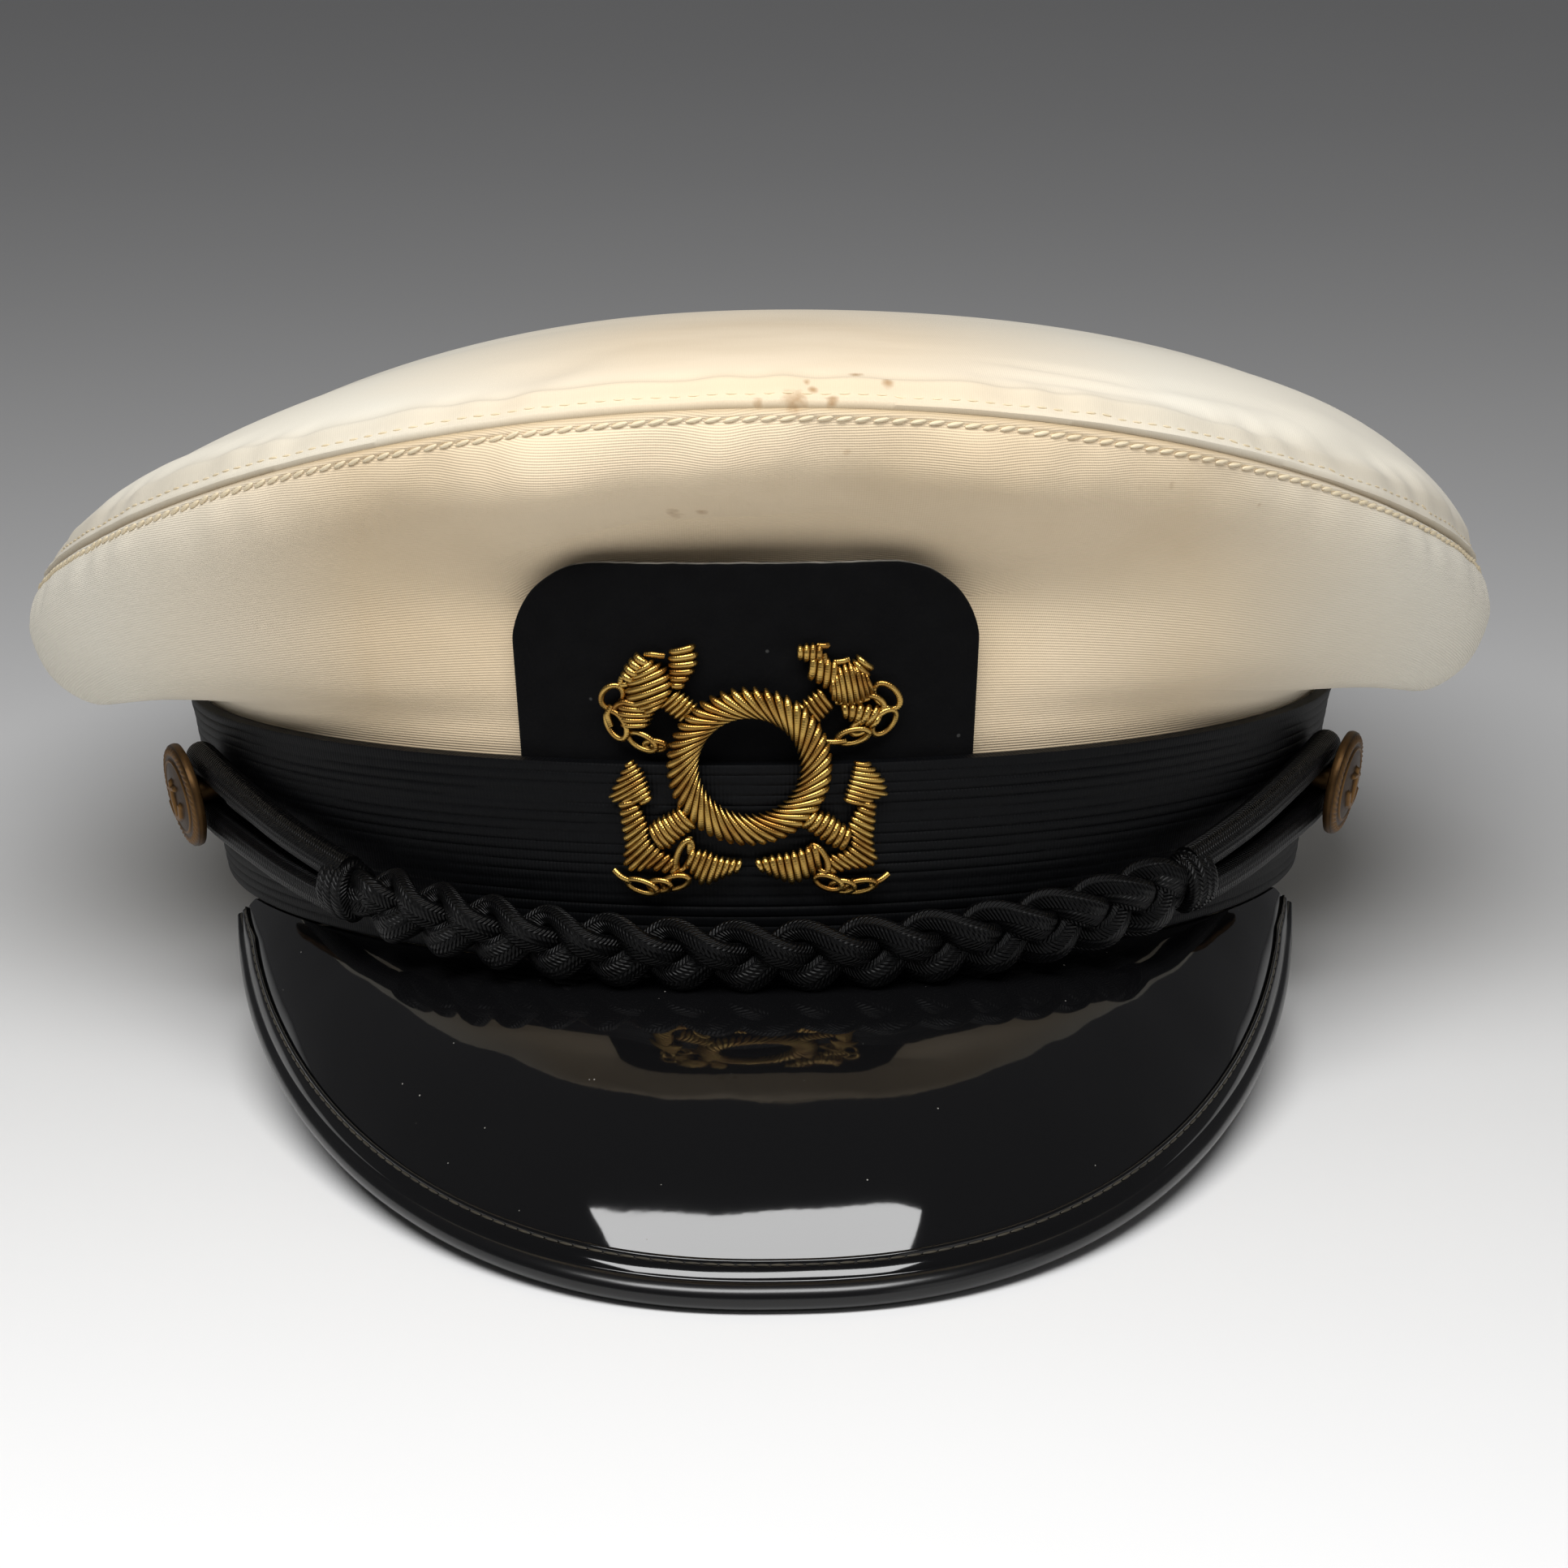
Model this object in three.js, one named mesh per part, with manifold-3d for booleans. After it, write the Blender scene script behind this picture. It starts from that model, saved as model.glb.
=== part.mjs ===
// A captain's hat: a white cotton crown on a ribbed black band, a glossy peak with a bound rim,
// a black plaited cord between two brass buttons, and a felt patch with a bullion anchor badge.
// Millimetres. The hat is laid out upright, with the hem plane at z = 0 and the front towards -Y,
// and is then tipped back until the peak's rim and the back of the hem stand on the ground.
import * as THREE from "three";
import Module from "manifold-3d";

// Driving dimensions
const GAP = 0.3; // clear space between neighbouring pieces
const CLOTH = 1.4; // thickness of the crown's cotton
const FELT = 1.4; // thickness of the badge patch
const BAND_WALL = 1.6;
const BAND_FLARE = 0.2; // outward lean of the band, mm for each mm of height
const HEM = { side: 82.6, front: 100, back: 99 }; // half axes of the hem's outer oval
const BAND_TOP = { side: 27.5, front: 28.5, back: 27 }; // height of the band's top edge
const COLUMNS = 50; // steps round the hat, with a flat step at the front and at the back
const FALL_OFF = 1.4; // how soon a section's height leaves its front or back value

// Sections of the crown's side panel, from the edge tucked into the band up to the seam.
// Each row gives the outer face's reach and height at the front, the sides and the back.
const SIDE_PANEL = [
  { name: "tuck", front: 100.4, frontZ: 21, side: 84.6, sideZ: 20, back: 101.0, backZ: 20 },
  { name: "edge", front: 101.8, frontZ: 28.8, side: 86.1, sideZ: 27.9, back: 102.5, backZ: 27.4 },
  { name: "roll", front: 102.8, frontZ: 33, side: 89.8, sideZ: 29.2, back: 105.0, backZ: 29.2 },
  { name: "sag", front: 103.6, frontZ: 39, side: 95.8, sideZ: 26, back: 111.5, backZ: 28.4 },
  { name: "underside", front: 104.4, frontZ: 46, side: 102.4, sideZ: 24, back: 118.0, backZ: 29.5 },
  { name: "flare", front: 106.4, frontZ: 54, side: 109.0, sideZ: 27.6, back: 123.5, backZ: 34 },
  { name: "belly", front: 112.5, frontZ: 62.5, side: 112.4, sideZ: 34.4, back: 126.0, backZ: 41 },
  { name: "brow", front: 120.0, frontZ: 71, side: 111.6, sideZ: 38.8, back: 125.0, backZ: 48 },
  { name: "seam", front: 123.6, frontZ: 77.5, side: 109.4, sideZ: 42, back: 121.5, backZ: 54 },
];

// The top panel rises from the seam to its highest point in these steps of the way in.
const TOP_STEPS = [0.05, 0.14, 0.28, 0.48, 0.72, 1];
const TOP_PEAK = { y: -8, z: 83.4 };
const TOP_ROUNDING = 0.632; // smaller is fuller near the seam
const TOP_SKEW = 0.112; // the top is fuller on its right side than on its left
const TOP_ROLL = { rise: 3.2, width: 0.02 }; // the rounded front edge, just in from the seam

const SEAM_ROW = SIDE_PANEL.length - 1;
const LAST_ROW = SEAM_ROW + TOP_STEPS.length;

// The peak's rim is half of an oval. Its front lies low, and its ends rise to the hem.
const PEAK_WALL = 1.6;
const PEAK_ENDS = 66 * (Math.PI / 180); // the peak's ends, round the hem from the front
const RIM = { halfWidth: 77.2, ends: 38, reach: 106.1, drop: 34.7 };
const RIM_CURVE = { across: 0.86, forward: 1.4, fall: 0.8 }; // powers that shape the oval's run
const RIM_SWEEP = 0.968; // share of the half oval that is used, so the ends keep some depth
const PEAK_BULGE = 5.4; // how far the peak stands proud of a straight slope
const BULGE_AT = 0.5; // where it does so most, on the way out from the hem to the rim
const BINDING = { wall: 0.9, lap: 5.6 };
const PEAK_COLUMNS = 39; // steps from one end of the peak to the other

// The felt patch and the badge on it, measured from the front along the band.
const PATCH = { width: 64.6, shift: -3.4, tuck: 4.5, rise: 27.7, corner: 12.7, lean: 0.09 };
const BADGE = { shift: -2.85, height: 28.7, lift: 0.7, thick: 2.2, headThick: 3.2, bevel: 0.8, inset: 0.5 };
const RING = { outer: 10.9, inner: 6.8 };

// The plait, its knots, the cords to the buttons, and the buttons.
const STRAND = { radius: 1.5, sway: 3.3, weave: 2.4, pitch: 26, tilt: 0.38 };
const PLAIT = { ends: 38 * (Math.PI / 180), middleZ: 3.6, endZ: 8.4, standOff: 5.2 };
const KNOT = { radius: 4.2, length: 6.6, wraps: 3, valley: 0.14, endShare: 0.72, clear: 1.2 };
const CORD = { radius: 2.3, spread: 2.6 };
const BUTTON = { angle: 66 * (Math.PI / 180), z: 17.3, radius: 7.75, shank: 1.7, back: 6.0, dome: 2.6 };
const BUTTON_ARC = 92; // radius of the band's oval near the buttons
const RELIEF = { depth: 1.1, sunk: 0.75 }; // the anchor raised on each button

const REST_TILT = 8.6; // degrees the hat is tipped back at rest

const COLOURS = {
  cotton: 0xd9d2c4,
  ribbed_band: 0x141416,
  felt: 0x101012,
  bullion: 0xb08a3a,
  black_cord: 0x17171a,
  brass: 0x6f5a33,
  patent: 0x0b0b0d,
  patent_edge: 0x0e0e10,
};

const wasm = await Module();
wasm.setup();

// Blend a front, side and back value at an angle round the hat, with 0 at the front.
function blend(angle, front, side, back) {
  const along = Math.cos(angle);
  const end = along > 0 ? front : back;
  return side + (end - side) * Math.abs(along) ** FALL_OFF;
}

// A point on an oval ring with its own half axes in front and behind.
function ovalPoint(angle, side, front, back, z) {
  const along = Math.cos(angle);
  const reach = along > 0 ? front : back;
  return new THREE.Vector3(side * Math.sin(angle), -reach * along, z);
}

// A point on the band's outer cone at a height, moved outwards by a clearance.
function bandPoint(angle, z, out = 0) {
  const grow = BAND_FLARE * z;
  const point = ovalPoint(angle, HEM.side + grow, HEM.front + grow, HEM.back + grow, z);
  return point.addScaledVector(bandNormal(angle, z), out);
}

function bandNormal(angle, z) {
  const grow = BAND_FLARE * z;
  const reach = (Math.cos(angle) > 0 ? HEM.front : HEM.back) + grow;
  const normal = new THREE.Vector3(
    Math.sin(angle) / (HEM.side + grow),
    -Math.cos(angle) / reach,
    0,
  ).normalize();
  normal.z = -BAND_FLARE;
  return normal.normalize();
}

// The unit normal of a surface given by a function of two numbers.
function surfaceNormal(surface, a, b, stepA, stepB) {
  const alongA = surface(a + stepA, b).sub(surface(a - stepA, b));
  const alongB = surface(a, b + stepB).sub(surface(a, b - stepB));
  return alongA.cross(alongB).normalize();
}

// Join rows of points into one closed solid. Each row is a loop; the rows follow one another
// and the last joins the first when the solid is a ring. Otherwise both ends are closed, with the
// given triangles of a row's points or with a fan.
function loft(rows, { ring, ends = null }) {
  const count = rows[0].length;
  const positions = [];
  const index = [];
  rows.forEach((row) => row.forEach((p) => positions.push(p.x, p.y, p.z)));
  const steps = ring ? rows.length : rows.length - 1;
  for (let r = 0; r < steps; r += 1) {
    const next = (r + 1) % rows.length;
    for (let c = 0; c < count; c += 1) {
      const d = (c + 1) % count;
      index.push(r * count + c, next * count + d, r * count + d);
      index.push(r * count + c, next * count + c, next * count + d);
    }
  }
  if (!ring) {
    [0, rows.length - 1].forEach((r) => {
      if (ends) {
        const ordered = r === 0 ? ends : ends.map(([a, b, c]) => [a, c, b]);
        ordered.forEach((corners) => index.push(...corners.map((c) => r * count + c)));
        return;
      }
      const centre = rows[r].reduce((sum, p) => sum.add(p), new THREE.Vector3());
      centre.divideScalar(count);
      const hub = positions.length / 3;
      positions.push(centre.x, centre.y, centre.z);
      for (let c = 0; c < count; c += 1) {
        const d = (c + 1) % count;
        const first = r === 0 ? c : d;
        const second = r === 0 ? d : c;
        index.push(r * count + first, r * count + second, hub);
      }
    });
  }
  const geometry = new THREE.BufferGeometry();
  geometry.setAttribute("position", new THREE.Float32BufferAttribute(positions, 3));
  geometry.setIndex(index);
  return geometry;
}

// The crown's outer face in one profile: the side panel's rows, then the top panel's steps.
function crownPoint(angle, row) {
  const section = SIDE_PANEL[Math.min(row, SEAM_ROW)];
  const z = blend(angle, section.frontZ, section.sideZ, section.backZ);
  const point = ovalPoint(angle, section.side, section.front, section.back, z);
  if (row > SEAM_ROW) {
    const inward = TOP_STEPS[row - SEAM_ROW - 1];
    const rounding = TOP_ROUNDING - TOP_SKEW * Math.sin(angle);
    const rise = Math.sin((Math.PI / 2) * inward ** rounding);
    const roll = TOP_ROLL.rise * Math.max(0, Math.cos(angle)) * (1 - Math.exp(-inward / TOP_ROLL.width));
    point.lerp(new THREE.Vector3(0, TOP_PEAK.y, z), inward);
    point.z = z + (TOP_PEAK.z - z) * rise + roll * (1 - inward) ** 2;
  }
  return point;
}

function crownNormal(angle, row) {
  const before = crownPoint(angle, Math.max(0, row - 1));
  const after = crownPoint(angle, Math.min(LAST_ROW, row + 1));
  const round = crownPoint(angle + 0.02, row).sub(crownPoint(angle - 0.02, row));
  if (row === LAST_ROW) {
    return new THREE.Vector3(0, 0, 1);
  }
  return round.cross(after.sub(before)).normalize();
}

// One panel of the crown between two rows, thickened towards the inside of the hat.
function makeCrownPanel(first, last, startGap) {
  const rows = [];
  for (let c = 0; c < COLUMNS; c += 1) {
    const angle = ((c + 0.5) / COLUMNS) * 2 * Math.PI;
    const face = [];
    const inside = [];
    for (let row = first; row <= last; row += 1) {
      const point = crownPoint(angle, row);
      if (row === first) {
        const onward = crownPoint(angle, row + 1).sub(point).normalize();
        point.addScaledVector(onward, startGap);
      }
      face.push(point);
      inside.unshift(point.clone().addScaledVector(crownNormal(angle, row), -CLOTH));
    }
    rows.push([...face, ...inside]);
  }
  return loft(rows, { ring: true });
}

function makeBand() {
  const outer = (angle, t) => {
    const top = blend(angle, BAND_TOP.front, BAND_TOP.side, BAND_TOP.back);
    return bandPoint(angle, t * top);
  };
  const rows = [];
  for (let c = 0; c < COLUMNS; c += 1) {
    const angle = ((c + 0.5) / COLUMNS) * 2 * Math.PI;
    const face = [0, 0.5, 1].map((t) => outer(angle, t));
    const inside = face.map((p) => {
      const flat = bandNormal(angle, p.z).setZ(0).normalize();
      return p.clone().addScaledVector(flat, -BAND_WALL);
    });
    rows.push([...face, ...inside.reverse()]);
  }
  return loft(rows, { ring: true });
}

// The peak's upper face, across from end to end and out from the hem to the rim.
function peakPoint(across, out) {
  const angle = across * PEAK_ENDS;
  const turn = across * RIM_SWEEP * (Math.PI / 2);
  const root = bandPoint(angle, 0).setZ(-GAP);
  const sideways = Math.sign(turn) * Math.abs(Math.sin(turn)) ** RIM_CURVE.across;
  const forward = Math.cos(turn) ** RIM_CURVE.forward;
  const fall = Math.cos(turn) ** RIM_CURVE.fall;
  const rim = new THREE.Vector3(
    RIM.halfWidth * sideways,
    -RIM.ends - RIM.reach * forward,
    -RIM.drop * fall,
  );
  const slope = rim.clone().sub(root);
  const side = new THREE.Vector3(Math.cos(angle), Math.sin(angle), 0);
  const proud = slope.clone().cross(side).normalize();
  const share = Math.min(1, slope.length() / (RIM.reach * 0.5));
  const power = BULGE_AT / (1 - BULGE_AT);
  const swell = (out ** power * (1 - out)) / (BULGE_AT ** power * (1 - BULGE_AT));
  const bulge = PEAK_BULGE * share * swell;
  return root.addScaledVector(slope, out).addScaledVector(proud, bulge);
}

function peakNormal(across, out) {
  const a = Math.max(-0.995, Math.min(0.995, across));
  const b = Math.max(0.01, Math.min(0.99, out));
  return surfaceNormal(peakPoint, a, b, 0.004, 0.009).negate();
}

// Where the binding's inner edge lies on the way out from the hem to the rim.
function lapStart(across) {
  const length = peakPoint(across, 0).distanceTo(peakPoint(across, 1));
  return 1 - Math.min(BINDING.lap, length / 2) / length;
}

function makePeak() {
  const rows = [];
  for (let c = 0; c <= PEAK_COLUMNS; c += 1) {
    const across = -1 + (2 * c) / PEAK_COLUMNS;
    const lap = lapStart(across);
    const outs = [0, lap * 0.3, lap * 0.55, lap * 0.8, lap, 1];
    const upper = outs.map((out) => peakPoint(across, out));
    const lower = upper.map((p, i) => {
      const normal = peakNormal(across, outs[i]);
      if (i === 0) {
        normal.setZ(0).normalize();
      }
      return p.clone().addScaledVector(normal, -PEAK_WALL);
    });
    rows.push([...lower, ...upper.reverse()]);
  }
  return loft(rows, { ring: false });
}

// The folded edging: a channel section carried round the rim, open towards the peak.
// A corner of the section lies on the lap's edge or on the rim, up from the peak's middle layer.
function makeBinding() {
  const slot = PEAK_WALL / 2 + GAP;
  const outside = slot + BINDING.wall;
  const section = [
    { onRim: 0, out: 0, up: slot },
    { onRim: 1, out: GAP, up: slot },
    { onRim: 1, out: GAP, up: -slot },
    { onRim: 0, out: 0, up: -slot },
    { onRim: 0, out: 0, up: -outside },
    { onRim: 1, out: GAP * 0.5, up: -outside },
    { onRim: 1, out: GAP + BINDING.wall, up: -slot * 0.55 },
    { onRim: 1, out: GAP + BINDING.wall, up: slot * 0.55 },
    { onRim: 1, out: GAP * 0.5, up: outside },
    { onRim: 0, out: 0, up: outside },
  ];
  const rows = [];
  for (let c = 0; c <= PEAK_COLUMNS; c += 1) {
    const across = -1 + (2 * c) / PEAK_COLUMNS;
    const lap = lapStart(across);
    const outward = peakPoint(across, 1).sub(peakPoint(across, lap)).normalize();
    rows.push(section.map((corner) => {
      const at = corner.onRim ? 1 : lap;
      const point = peakPoint(across, at).addScaledVector(outward, corner.out);
      return point.addScaledVector(peakNormal(across, at), corner.up - PEAK_WALL / 2);
    }));
  }
  const flat = section.map((corner) => new THREE.Vector2(corner.onRim * BINDING.lap + corner.out, corner.up));
  const ends = THREE.ShapeUtils.triangulateShape(flat, []).map((corners) => corners.sort((a, b) => a - b));
  return loft(rows, { ring: false, ends });
}

// Lay a flat pattern on the front: x runs along the band, y is height, z stands off the face.
function layOnFront(x, y, z) {
  const angle = x / (HEM.side + BAND_FLARE * y);
  return bandPoint(angle, y, z);
}

// How far the patch's face stands off the band's cone: behind the band's wall, then leaning out.
function patchStand(height) {
  const above = Math.max(0, height - BAND_TOP.front);
  return -(BAND_WALL + GAP) / 1.02 - 0.08 + above * PATCH.lean;
}

function makePatch() {
  const columns = 20;
  const rows = [];
  const half = PATCH.width / 2;
  const levels = [0, 0.2, 0.5, 0.8, 1];
  const bottom = BAND_TOP.front - PATCH.tuck;
  for (let c = 0; c <= columns; c += 1) {
    const x = -half * Math.cos((c / columns) * Math.PI);
    const past = Math.max(0, Math.abs(x) - (half - PATCH.corner));
    const cut = PATCH.corner - Math.sqrt(Math.max(0, PATCH.corner ** 2 - past ** 2));
    const top = BAND_TOP.front + PATCH.rise - cut;
    const heights = levels.map((t) => bottom + (top - bottom) * t);
    const face = heights.map((y) => layOnFront(x + PATCH.shift, y, patchStand(y)));
    const rear = heights.map((y) => layOnFront(x + PATCH.shift, y, patchStand(y) - FELT));
    rows.push([...face, ...rear.reverse()]);
  }
  return loft(rows, { ring: false });
}

// Wrap a flat geometry, drawn about the badge's middle, on to the band or on to the patch.
function wrapBadge(geometry, onPatch) {
  const position = geometry.getAttribute("position");
  for (let i = 0; i < position.count; i += 1) {
    const height = position.getY(i) + BADGE.height;
    const base = onPatch ? patchStand(height) + 2 * GAP : BADGE.lift;
    const x = position.getX(i) + BADGE.shift;
    const point = layOnFront(x, height, base + position.getZ(i));
    position.setXYZ(i, point.x, point.y, point.z);
  }
  return geometry;
}

function makeEmblemRing() {
  const middle = (RING.outer + RING.inner) / 2;
  const half = (RING.outer - RING.inner) / 2;
  const profile = [];
  for (let i = 0; i <= 8; i += 1) {
    const turn = (i / 8) * 2 * Math.PI;
    const up = BADGE.thick * 0.6 * (1 + Math.sin(turn));
    profile.push(new THREE.Vector2(middle + half * Math.cos(turn), up));
  }
  const geometry = new THREE.LatheGeometry(profile, 28);
  geometry.rotateX(Math.PI / 2);
  return wrapBadge(geometry, false);
}

// Flat outlines of the badge's left half about the ring's middle, in mm.
const HEAD_OUTLINE = [
  [-8.6, 8.4], [-7.2, 10.2], [-9.0, 11.6], [-7.4, 14.4], [-7.8, 16.4], [-9.6, 16.0], [-11.4, 14.6],
  [-13.6, 15.2], [-14.6, 13.6], [-14.2, 11.8], [-16.4, 10.4], [-19.2, 10.6], [-19.9, 8.4],
  [-18.2, 5.6], [-15.6, 3.2], [-12.2, 2.5], [-11.8, 4.2], [-14.6, 5.2], [-16.4, 7.4], [-14.4, 8.6],
  [-12.2, 8.6], [-10.4, 6.8],
];
const FLUKE_OUTLINE = [
  [-8.8, -7.4], [-10.6, -5.6], [-13.4, -8.6], [-13.6, -4.6], [-12.6, -3.8], [-15.6, 0.8],
  [-18.8, -3.4], [-17.2, -4.2], [-17.6, -10.0], [-17.4, -14.6], [-14.4, -16.6], [-9.6, -16.2],
  [-6.2, -15.8], [-5.6, -16.8], [-0.8, -13.8], [-4.8, -10.6], [-5.8, -12.0], [-10.2, -11.4],
];

function makeBadgePiece(outline, mirror, thick, onPatch) {
  const points = outline.map(([x, y]) => new THREE.Vector2(x * mirror, y));
  const shape = new THREE.Shape(points);
  const geometry = new THREE.ExtrudeGeometry(shape, {
    depth: thick - BADGE.bevel,
    bevelEnabled: true,
    bevelThickness: BADGE.bevel,
    bevelSize: BADGE.inset,
    bevelOffset: -BADGE.inset,
    bevelSegments: 2,
    curveSegments: 1,
  });
  geometry.translate(0, 0, BADGE.bevel);
  return wrapBadge(geometry, onPatch);
}

// The height of the plait's middle line round the front.
function plaitHeight(angle) {
  return PLAIT.middleZ + (PLAIT.endZ - PLAIT.middleZ) * (angle / PLAIT.ends) ** 2;
}

// The plait's middle line, with the directions across it and out of it.
function plaitFrame(angle) {
  const z = plaitHeight(angle);
  const point = bandPoint(angle, z, PLAIT.standOff);
  const normal = bandNormal(angle, z);
  const ahead = bandPoint(angle + 0.01, plaitHeight(angle + 0.01), PLAIT.standOff);
  const along = ahead.sub(point).normalize();
  const up = along.clone().cross(normal).negate().normalize();
  const tilt = STRAND.tilt * (1 - Math.abs(angle / PLAIT.ends) ** 2);
  const lean = new THREE.Quaternion().setFromAxisAngle(along, tilt);
  return { point, along, up: up.applyQuaternion(lean), normal: normal.applyQuaternion(lean) };
}

// Lengths along the plait's middle line, for an even pitch.
function plaitLength(angle) {
  const steps = 40;
  let sum = 0;
  let last = plaitFrame(0).point;
  for (let i = 1; i <= steps; i += 1) {
    const next = plaitFrame((angle * i) / steps).point;
    sum += next.distanceTo(last);
    last = next;
  }
  return Math.sign(angle) * sum;
}

class PlaitStrand extends THREE.Curve {
  constructor(number) {
    super();
    this.phase = (number * 2 * Math.PI) / 3;
  }
  getPoint(t, target = new THREE.Vector3()) {
    const angle = (2 * t - 1) * PLAIT.ends;
    const turn = (plaitLength(angle) / STRAND.pitch) * 2 * Math.PI + this.phase;
    const { point, up, normal } = plaitFrame(angle);
    target.copy(point);
    target.addScaledVector(up, STRAND.sway * Math.sin(turn));
    return target.addScaledVector(normal, -STRAND.weave * Math.sin(2 * turn));
  }
}

function roundSection(radius, sides) {
  const points = [];
  for (let i = 0; i < sides; i += 1) {
    const turn = (i / sides) * 2 * Math.PI;
    points.push(new THREE.Vector2(radius * Math.cos(turn), radius * Math.sin(turn)));
  }
  return new THREE.Shape(points);
}

function makeTube(path, radius, sides, steps) {
  return new THREE.ExtrudeGeometry(roundSection(radius, sides), {
    steps,
    bevelEnabled: false,
    extrudePath: path,
  });
}

// A wrapped knot: a few rounded turns side by side on the plait's line.
function makeKnot(mirror) {
  const middle = knotAngle();
  const frame = plaitFrame(middle * mirror);
  const profile = [new THREE.Vector2(0, -KNOT.length / 2)];
  for (let i = 0; i <= KNOT.wraps * 4; i += 1) {
    const t = i / (KNOT.wraps * 4);
    const wave = 1 - KNOT.valley * Math.abs(Math.cos(t * KNOT.wraps * Math.PI));
    const ends = KNOT.endShare + (1 - KNOT.endShare) * Math.sin(Math.PI * t);
    profile.push(new THREE.Vector2(KNOT.radius * wave * ends, (t - 0.5) * KNOT.length));
  }
  profile.push(new THREE.Vector2(0, KNOT.length / 2));
  const geometry = new THREE.LatheGeometry(profile, 10);
  const turn = new THREE.Quaternion();
  turn.setFromUnitVectors(new THREE.Vector3(0, 1, 0), frame.along);
  geometry.applyQuaternion(turn);
  geometry.translate(frame.point.x, frame.point.y, frame.point.z);
  return geometry;
}

function knotAngle() {
  const perRadian = plaitLength(PLAIT.ends) / PLAIT.ends;
  return PLAIT.ends + (KNOT.length / 2 + KNOT.clear) / perRadian;
}

// A doubled cord from the knot, round the button's shank and back to the knot.
function makeCordLoop(mirror) {
  const perRadian = plaitLength(PLAIT.ends) / PLAIT.ends;
  const start = knotAngle() + (KNOT.length / 2 + GAP + 0.2) / perRadian;
  const turnRadius = BUTTON.shank + CORD.radius + GAP;
  const atBand = CORD.radius + 2 * GAP;
  const startZ = plaitHeight(knotAngle());
  const route = [];
  const place = (angle, z, out) => route.push(bandPoint(angle * mirror, z, out));
  [0, 0.33, 0.66].forEach((t) => {
    const angle = THREE.MathUtils.lerp(start, BUTTON.angle, t);
    const z = THREE.MathUtils.lerp(startZ + CORD.spread, BUTTON.z + turnRadius, t);
    place(angle, z, THREE.MathUtils.lerp(PLAIT.standOff, atBand, Math.min(1, t * 1.6)));
  });
  for (let i = 0; i <= 6; i += 1) {
    const turn = (i / 6) * Math.PI;
    const angle = BUTTON.angle + (turnRadius * Math.sin(turn)) / BUTTON_ARC;
    place(angle, BUTTON.z + turnRadius * Math.cos(turn), atBand);
  }
  [0.66, 0.33, 0].forEach((t) => {
    const angle = THREE.MathUtils.lerp(start, BUTTON.angle, t);
    const z = THREE.MathUtils.lerp(startZ - CORD.spread, BUTTON.z - turnRadius, t);
    place(angle, z, THREE.MathUtils.lerp(PLAIT.standOff, atBand, Math.min(1, t * 1.6)));
  });
  return makeTube(new THREE.CatmullRomCurve3(route), CORD.radius, 8, 30);
}

function toSolid(geometry) {
  const position = geometry.getAttribute("position");
  const index = geometry.getIndex();
  const count = index ? index.count : position.count;
  const seen = new Map();
  const vertices = [];
  const triangles = [];
  for (let i = 0; i < count; i += 1) {
    const at = index ? index.getX(i) : i;
    const place = [position.getX(at), position.getY(at), position.getZ(at)];
    const key = place.map((value) => Math.round(value * 1e4)).join(" ");
    if (!seen.has(key)) {
      seen.set(key, vertices.length / 3);
      vertices.push(...place);
    }
    triangles.push(seen.get(key));
  }
  const kept = [];
  for (let i = 0; i < triangles.length; i += 3) {
    const [a, b, c] = triangles.slice(i, i + 3);
    if (a !== b && b !== c && c !== a) {
      kept.push(a, b, c);
    }
  }
  return new wasm.Manifold(new wasm.Mesh({
    numProp: 3,
    vertProperties: Float32Array.from(vertices),
    triVerts: Uint32Array.from(kept),
  }));
}

function fromSolid(solid) {
  const mesh = solid.getMesh();
  const geometry = new THREE.BufferGeometry();
  geometry.setAttribute("position", new THREE.Float32BufferAttribute(mesh.vertProperties, 3));
  geometry.setIndex(Array.from(mesh.triVerts));
  return geometry;
}

// Flat outline of the small anchor raised on the buttons, in mm about the middle.
const BUTTON_ANCHOR = [
  [0.45, 2.6], [0.45, 1.7], [1.7, 1.7], [1.7, 1.0], [0.45, 1.0], [0.45, -2.2], [1.7, -1.6],
  [2.1, -0.6], [2.9, -1.4], [2.0, -2.8], [0, -3.6], [-2.0, -2.8], [-2.9, -1.4], [-2.1, -0.6],
  [-1.7, -1.6], [-0.45, -2.2], [-0.45, 1.0], [-1.7, 1.0], [-1.7, 1.7], [-0.45, 1.7], [-0.45, 2.6],
];

function makeButton(mirror) {
  const r = BUTTON.radius;
  const back = BUTTON.back;
  const profile = [
    [0, GAP], [BUTTON.shank, GAP], [BUTTON.shank, back], [r * 0.92, back], [r, back + 0.5],
    [r, back + 1.1], [r * 0.95, back + 1.6], [r * 0.88, back + 1.35], [r * 0.82, back + 1.65],
    [r * 0.76, back + 1.5], [r * 0.55, back + BUTTON.dome * 0.82], [r * 0.28, back + BUTTON.dome * 0.97],
    [0, back + BUTTON.dome],
  ].map(([x, y]) => new THREE.Vector2(x, y));
  const body = new THREE.LatheGeometry(profile, 20);
  body.rotateX(Math.PI / 2);
  const relief = new THREE.ExtrudeGeometry(
    new THREE.Shape(BUTTON_ANCHOR.map(([x, y]) => new THREE.Vector2(x, y))),
    { depth: RELIEF.depth, bevelEnabled: false },
  );
  relief.translate(0, 0, back + BUTTON.dome - RELIEF.sunk);
  const geometry = fromSolid(toSolid(body).add(toSolid(relief)));
  const angle = BUTTON.angle * mirror;
  const normal = bandNormal(angle, BUTTON.z);
  const across = new THREE.Vector3(0, 0, 1).cross(normal).normalize();
  const up = normal.clone().cross(across);
  const place = new THREE.Matrix4().makeBasis(across, up, normal);
  place.setPosition(bandPoint(angle, BUTTON.z));
  return geometry.applyMatrix4(place);
}

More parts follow.
